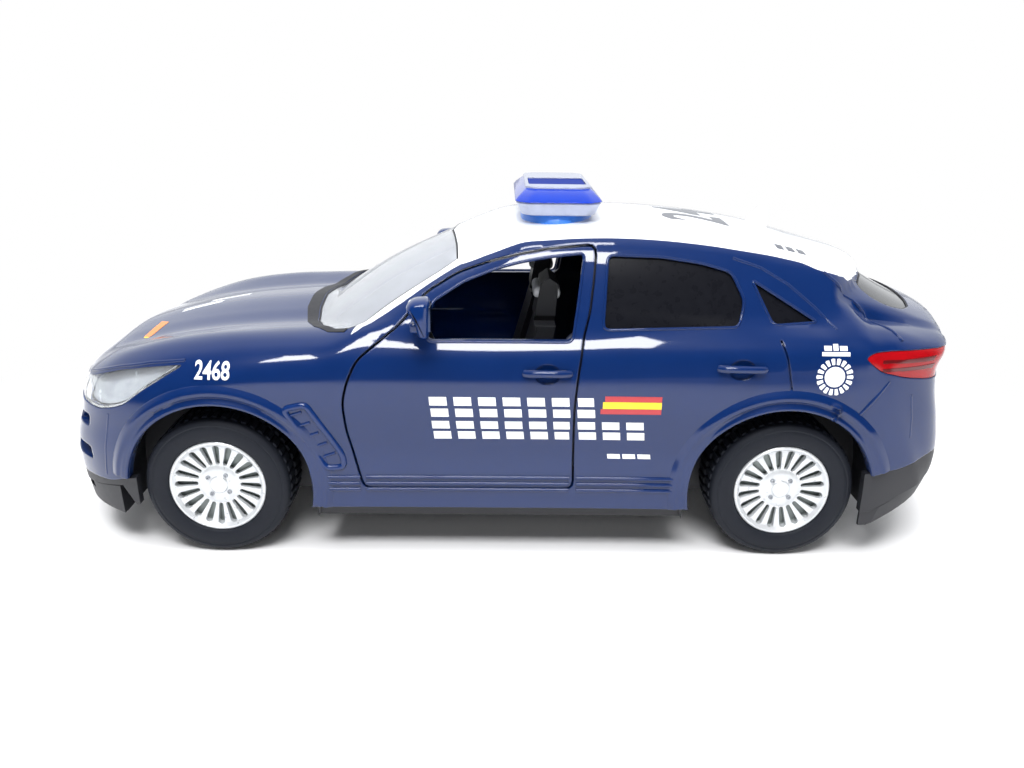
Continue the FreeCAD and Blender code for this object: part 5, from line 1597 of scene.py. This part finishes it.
@dataclass(frozen=True)
class Marks:
    """Printed marks: plain bars, digits, a rosette and stripes, each a thin film on the paint."""

    lift: float = 0.035
    sink: float = 0.03

    def film(self, name: str, outlines: Sequence[Sequence[Point2]], side: Side, look: Finish, body: str) -> None:
        """Lays outlines of X and Z on one side of the car."""
        xs = [x for o in outlines for x, _ in o]
        zs = [z for o in outlines for _, z in o]
        rays = Lattice.side((min(xs) - 0.4, min(zs) - 0.4), (max(xs) + 0.4, max(zs) + 0.4), side, 0.6)
        sheet = slab(f"{name}_{side.word}", rays, -self.lift, self.sink)
        prisms = [pushed(outline, side, 10.0) for outline in outlines]
        finish(smooth(cut(sheet, joined(prisms, "prisms"), Keep.INSIDE)), look, body)

    @staticmethod
    def slanted(x0: float, x1: float, z0: float, z1: float, lean: float = 0.5) -> list[Point2]:
        """A bar with leaning ends."""
        return [(x0, z0), (x0 + lean, z1), (x1 + lean, z1), (x1, z0)]

    def rows(self, side: Side) -> None:
        """The two rows of bars across the front door and the rear door."""
        door, car = [], []
        width, space = 2.45, 0.55
        for z0, z1, first, count in ((19.45, 22.05, 8.9, 7), (16.35, 18.85, 8.6, 9)):
            x = first
            for _ in range(count):
                low, high = x - width, x
                for part, (a, b) in enumerate(((z0, z0 + (z1 - z0) * 0.42), (z0 + (z1 - z0) * 0.58, z1))):
                    left, right = low + 0.2 * part, high - 0.3 + 0.2 * part
                    if right > -8.1:
                        door.append(self.slanted(max(left, -8.5), right, a, b, 0.1))
                    if left < -9.7:
                        car.append(self.slanted(left, min(right, -9.4), a, b, 0.1))
                x -= width + space
        self.film("bars_front", door, side, WHITE_PRINT_AND_HIGHLIGHT, f"{side.word}_door")
        self.film("bars_rear", car, side, WHITE_PRINT_AND_HIGHLIGHT, "car")

    def rosette(self, side: Side) -> None:
        """A plain white rosette with a ring and a short bar above it."""
        shapes = []
        x, z = -40.3, 25.15
        spots, inner, outer, disc, corners = 18, 1.5, 2.2, 1.25, 24
        half = math.tau / spots * 0.32
        for i in range(spots):
            a = math.tau * i / spots
            shapes.append([(x + r * math.cos(t), z + r * math.sin(t)) for r, t in (
                (inner, a - half), (outer, a - half), (outer * 1.03, a), (outer, a + half), (inner, a + half))])
        turns = [math.tau * k / corners for k in range(corners)]
        shapes.append([(x + disc * math.cos(t), z + disc * math.sin(t)) for t in turns])
        shapes += [self.slanted(-42.0, -38.6, 27.65, 28.1, 0.0), self.slanted(-41.7, -40.8, 28.25, 28.75, 0.0),
                   self.slanted(-40.6, -40.0, 28.25, 28.95, 0.0), self.slanted(-39.8, -38.9, 28.25, 28.75, 0.0)]
        self.film("rosette", shapes, side, WHITE_PRINT_AND_HIGHLIGHT, "car")

    def stripe(self, side: Side) -> None:
        """The three-colour stripe block behind the bars."""
        top, front, back = 22.3, -12.75, -19.6
        for name, look, z0, z1 in (("red_top", RED_MARK, 21.62, top), ("yellow", YELLOW_MARK, 20.7, 21.58),
                                   ("red_low", RED_MARK, 20.0, 20.66)):
            x = front + (top - (z0 + z1) / 2) * 0.3
            outline = [(x, z0), (x, z1), (back, z1), (back, z0)]
            self.film(f"stripe_{name}", [outline], side, look, "car")

    def fender(self, side: Side) -> None:
        """Plain digits on the front wing."""
        rays = Lattice.side((32.0, 23.2), (38.4, 26.6), side, 0.5)
        sheet = slab(f"wing_digits_{side.word}", rays, -self.lift, self.sink)
        text = digits("2468", 2.0, 12.0)
        turn = Matrix.Rotation(math.radians(90), 4, "X")
        face = Matrix.Rotation(math.radians(180 if side is Side.LEFT else 0), 4, "Z")
        text.data.transform(Matrix.Translation(Vector((34.9, 22.0 * side.value, 25.0)) * MM) @ face @ turn
                            @ Matrix.Scale(0.78, 4, Vector((1, 0, 0))))
        finish(smooth(cut(sheet, text, Keep.INSIDE)), WHITE_PRINT_AND_HIGHLIGHT, "car")

    def on_top(self, name: str, outlines: Sequence[Sequence[Point2]], look: Finish) -> None:
        """Lays outlines of X and Y on the roof or the bonnet."""
        finish(smooth(top_of(outlines, name, -self.lift, self.sink, 0.6)), look, "car")

    def roof(self) -> None:
        """Dark digits and short bars on the roof."""
        rays = Lattice.top((-32.0, -8.0), (-20.5, 8.0), 0.7)
        sheet = slab("roof_digits", rays, -self.lift, self.sink)
        text = digits("24", 8.6, 12.0)
        text.data.transform(Matrix.Translation(Vector((-26.4, 0.0, 40.0)) * MM)
                            @ Matrix.Rotation(math.radians(-90), 4, "Z"))
        finish(smooth(cut(sheet, text, Keep.INSIDE)), GREY_MARK, "car")
        y, long, wide = 11.7, 0.95, 1.6
        bars = [[(x, y), (x + long, y), (x + long, y + wide), (x, y + wide)] for x in (-38.4, -37.0, -35.6)]
        self.on_top("roof_bars", bars, GREY_MARK)

    def bonnet(self) -> None:
        """Stripes and a plain bar on the bonnet."""
        self.on_top("bonnet_orange", [[(48.1, 9.6), (47.0, 10.4), (46.1, 5.5), (47.5, 4.4)]], ORANGE_MARK)
        self.on_top("bonnet_yellow", [[(47.95, 10.1), (47.35, 10.55), (47.1, 10.4), (47.9, 9.75)]], YELLOW_MARK)
        self.on_top("bonnet_bar", [[(45.6, 1.6), (45.6, 0.2), (40.4, -1.6), (40.4, -0.2)],
                                   [(42.6, -2.2), (42.6, -3.6), (37.4, -5.4), (37.4, -4.0)]], WHITE_PRINT_AND_HIGHLIGHT)

    def build(self) -> None:
        """Builds every mark."""
        for side in Side:
            self.rows(side)
            self.rosette(side)
            self.stripe(side)
            self.fender(side)
            dashes = [self.slanted(x, x + 1.6, 13.75, 14.35, 0.1) for x in (-18.8, -16.9, -15.0)]
            self.film("dashes", dashes, side, WHITE_PRINT_AND_HIGHLIGHT, "car")
        self.roof()
        self.bonnet()


@dataclass(frozen=True)
class Cabin:
    """Cabin pieces seen through the windows: the bands on the front seats."""

    def build(self) -> None:
        """Builds the cabin pieces."""
        for side in Side:
            y = 9.3 * side.value
            low, high = sorted((y - 3.1, y + 3.1))
            band = leaned(box(f"seat_band_{side.word}", (-7.5, low, 31.8), (-3.9, high, 33.3), 0.6), -4, (-5.5, 0, 32))
            finish(band, BAND, "car")


@dataclass(frozen=True)
class Stage:
    """Floor, backdrop light, lamps and the camera."""

    focal: float = 877.46
    place: tuple = (-0.01, 123.28, 59.11)
    pitch: float = 19.387
    yaw: float = -0.709
    roll: float = -0.762
    room: float = 0.065
    backdrop: float = 1.0
    sensor: float = 36.0
    picture_width: int = 1024

    def camera(self) -> None:
        """Sets up the camera where the picture was taken from."""
        data = bpy.data.cameras.new("camera")
        camera = bpy.data.objects.new("camera", data)
        bpy.context.scene.collection.objects.link(camera)
        p, y, r = (math.radians(v) for v in (self.pitch, self.yaw, self.roll))
        forward = Vector((math.sin(y) * math.cos(p), -math.cos(y) * math.cos(p), -math.sin(p)))
        right = forward.cross(Vector((0, 0, 1))).normalized()
        down = forward.cross(right)
        across = right * math.cos(r) + down * math.sin(r)
        below = right * -math.sin(r) + down * math.cos(r)
        turn = Matrix((across, -below, -forward)).transposed()
        camera.matrix_world = Matrix.Translation(Vector(self.place) * MM) @ turn.to_4x4()
        data.sensor_width = self.sensor
        data.lens = self.focal / self.picture_width * self.sensor
        data.clip_start = 0.001
        data.clip_end = 20
        bpy.context.scene.camera = camera

    def floor(self) -> None:
        """Lays a pale floor that is lifted to white for the camera and keeps its shadow."""
        bpy.ops.mesh.primitive_plane_add(size=6, location=(0, 0, -0.00002))
        floor = bpy.context.object
        floor.name = "floor"
        material = bpy.data.materials.new("pale_floor")
        material.use_nodes = True
        tree = material.node_tree
        shader, leave = tree.nodes["Principled BSDF"], tree.nodes["Material Output"]
        set_inputs(shader, {"Base Color": (0.90, 0.90, 0.91, 1), "Roughness": 0.9, "Specular IOR Level": 0.1})
        where = add_node(tree, "ShaderNodeTexCoord")
        stretch = add_node(tree, "ShaderNodeMapping", {"Scale": (1.0, 1.7, 1.0)})
        far = add_node(tree, "ShaderNodeVectorMath", operation="LENGTH")
        fade = add_node(tree, "ShaderNodeMapRange", {"From Min": 0.065, "From Max": 0.125},
                        interpolation_type="SMOOTHSTEP")
        direct = add_node(tree, "ShaderNodeLightPath")
        share = add_node(tree, "ShaderNodeMath", operation="MULTIPLY")
        white = add_node(tree, "ShaderNodeEmission")
        mix = add_node(tree, "ShaderNodeMixShader")
        link_all(tree, (where.outputs["Object"], stretch.inputs["Vector"]), (stretch.outputs["Vector"], far.inputs[0]),
                 (far.outputs["Value"], fade.inputs["Value"]), (fade.outputs["Result"], share.inputs[0]),
                 (direct.outputs["Is Camera Ray"], share.inputs[1]), (share.outputs[0], mix.inputs[0]),
                 (shader.outputs[0], mix.inputs[1]), (white.outputs[0], mix.inputs[2]),
                 (mix.outputs[0], leave.inputs["Surface"]))
        floor.data.materials.append(material)

    def lamp(self, name: str, size: Point2, power: float, spot: tuple, target: tuple = (0, 0, 0.02),
             mirrored_in: bool = True) -> None:
        """Hangs a soft rectangular lamp that faces a point."""
        data = bpy.data.lights.new(name, "AREA")
        data.shape = "RECTANGLE"
        data.size, data.size_y = size
        data.energy = power
        lamp = bpy.data.objects.new(name, data)
        lamp.location = spot
        lamp.visible_glossy = mirrored_in
        lamp.rotation_euler = (Vector(target) - Vector(spot)).to_track_quat("-Z", "Y").to_euler()
        bpy.context.scene.collection.objects.link(lamp)

    def sky(self) -> None:
        """Fills the room: a white backdrop behind the car, a dim room before it, and white for the camera."""
        world = bpy.data.worlds.new("studio")
        bpy.context.scene.world = world
        world.use_nodes = True
        tree = world.node_tree
        tree.nodes.clear()
        path = add_node(tree, "ShaderNodeLightPath")
        where = add_node(tree, "ShaderNodeTexCoord")
        split = add_node(tree, "ShaderNodeSeparateXYZ")
        behind = add_node(tree, "ShaderNodeMapRange", {"From Min": 0.35, "From Max": -0.25, "To Min": self.room,
                                                       "To Max": self.backdrop}, interpolation_type="SMOOTHSTEP")
        seen = add_node(tree, "ShaderNodeBackground", {0: (1, 1, 1, 1)})
        fill = add_node(tree, "ShaderNodeBackground", {0: (0.96, 0.98, 1.0, 1)})
        direct = add_node(tree, "ShaderNodeMath", operation="MAXIMUM")
        mix = add_node(tree, "ShaderNodeMixShader")
        out = add_node(tree, "ShaderNodeOutputWorld")
        link_all(tree, (where.outputs["Generated"], split.inputs[0]), (split.outputs["Y"], behind.inputs["Value"]),
                 (behind.outputs["Result"], fill.inputs[1]), (path.outputs["Is Camera Ray"], direct.inputs[0]),
                 (path.outputs["Is Transmission Ray"], direct.inputs[1]), (direct.outputs[0], mix.inputs[0]),
                 (fill.outputs[0], mix.inputs[1]), (seen.outputs[0], mix.inputs[2]), (mix.outputs[0], out.inputs[0]))

    def build(self) -> None:
        """Builds the whole stage."""
        self.camera()
        self.floor()
        self.sky()
        self.lamp("overhead", (0.42, 0.20), 1.15, (0.0, 0.10, 0.36), mirrored_in=False)
        self.lamp("strip", (0.20, 0.085), 1.2, (0.03, 0.225, 0.34))
        self.lamp("rail", (0.12, 0.03), 0.2, (0.0, 0.062, 0.35))
        self.lamp("fill", (0.30, 0.20), 0.35, (0.0, 0.50, 0.24), mirrored_in=False)
        view = bpy.context.scene.view_settings
        view.view_transform = "Standard"


NODE_LOOKS = {
    "base": BLACK, "cabin_tub": DARK, "dashboard": DARK, "steering_wheel": BLACK, "motor_housing": BLACK,
    "seat_front_left": GREY, "seat_front_right": GREY, "seat_rear": GREY, "axle_front": STEEL, "axle_rear": STEEL,
    "grille": BLACK, "light_bar_base": SILVER, "light_bar_lens": BLUE, "antenna_fin": WHITE_PRINT_AND_HIGHLIGHT,
    "mirror_left": NAVY_TRIM, "mirror_right": NAVY_TRIM,
    "tyre_front_left": TYRE, "tyre_front_right": TYRE, "tyre_rear_left": TYRE, "tyre_rear_right": TYRE,
    "hub_front_left": SILVER, "hub_front_right": SILVER, "hub_rear_left": SILVER, "hub_rear_right": SILVER,
}


def dress_nodes(frame: dict) -> None:
    """Gives every CAD node that stays its finish."""
    for name, look in NODE_LOOKS.items():
        node = frame["nodes"][name]
        if not node.material_slots:
            node.data.materials.append(look.make())
        for slot in node.material_slots:
            slot.material = look.make()


def main() -> None:
    """Loads the frame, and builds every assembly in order."""
    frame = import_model()
    Stage().build()
    dress_nodes(frame)
    Casting().build()
    Glazing().build()
    Wheel().build()
    LightBar().build()
    DoorMirror().build()
    Cabin().build()
    Marks().build()


if __name__ == "__main__":
    main()
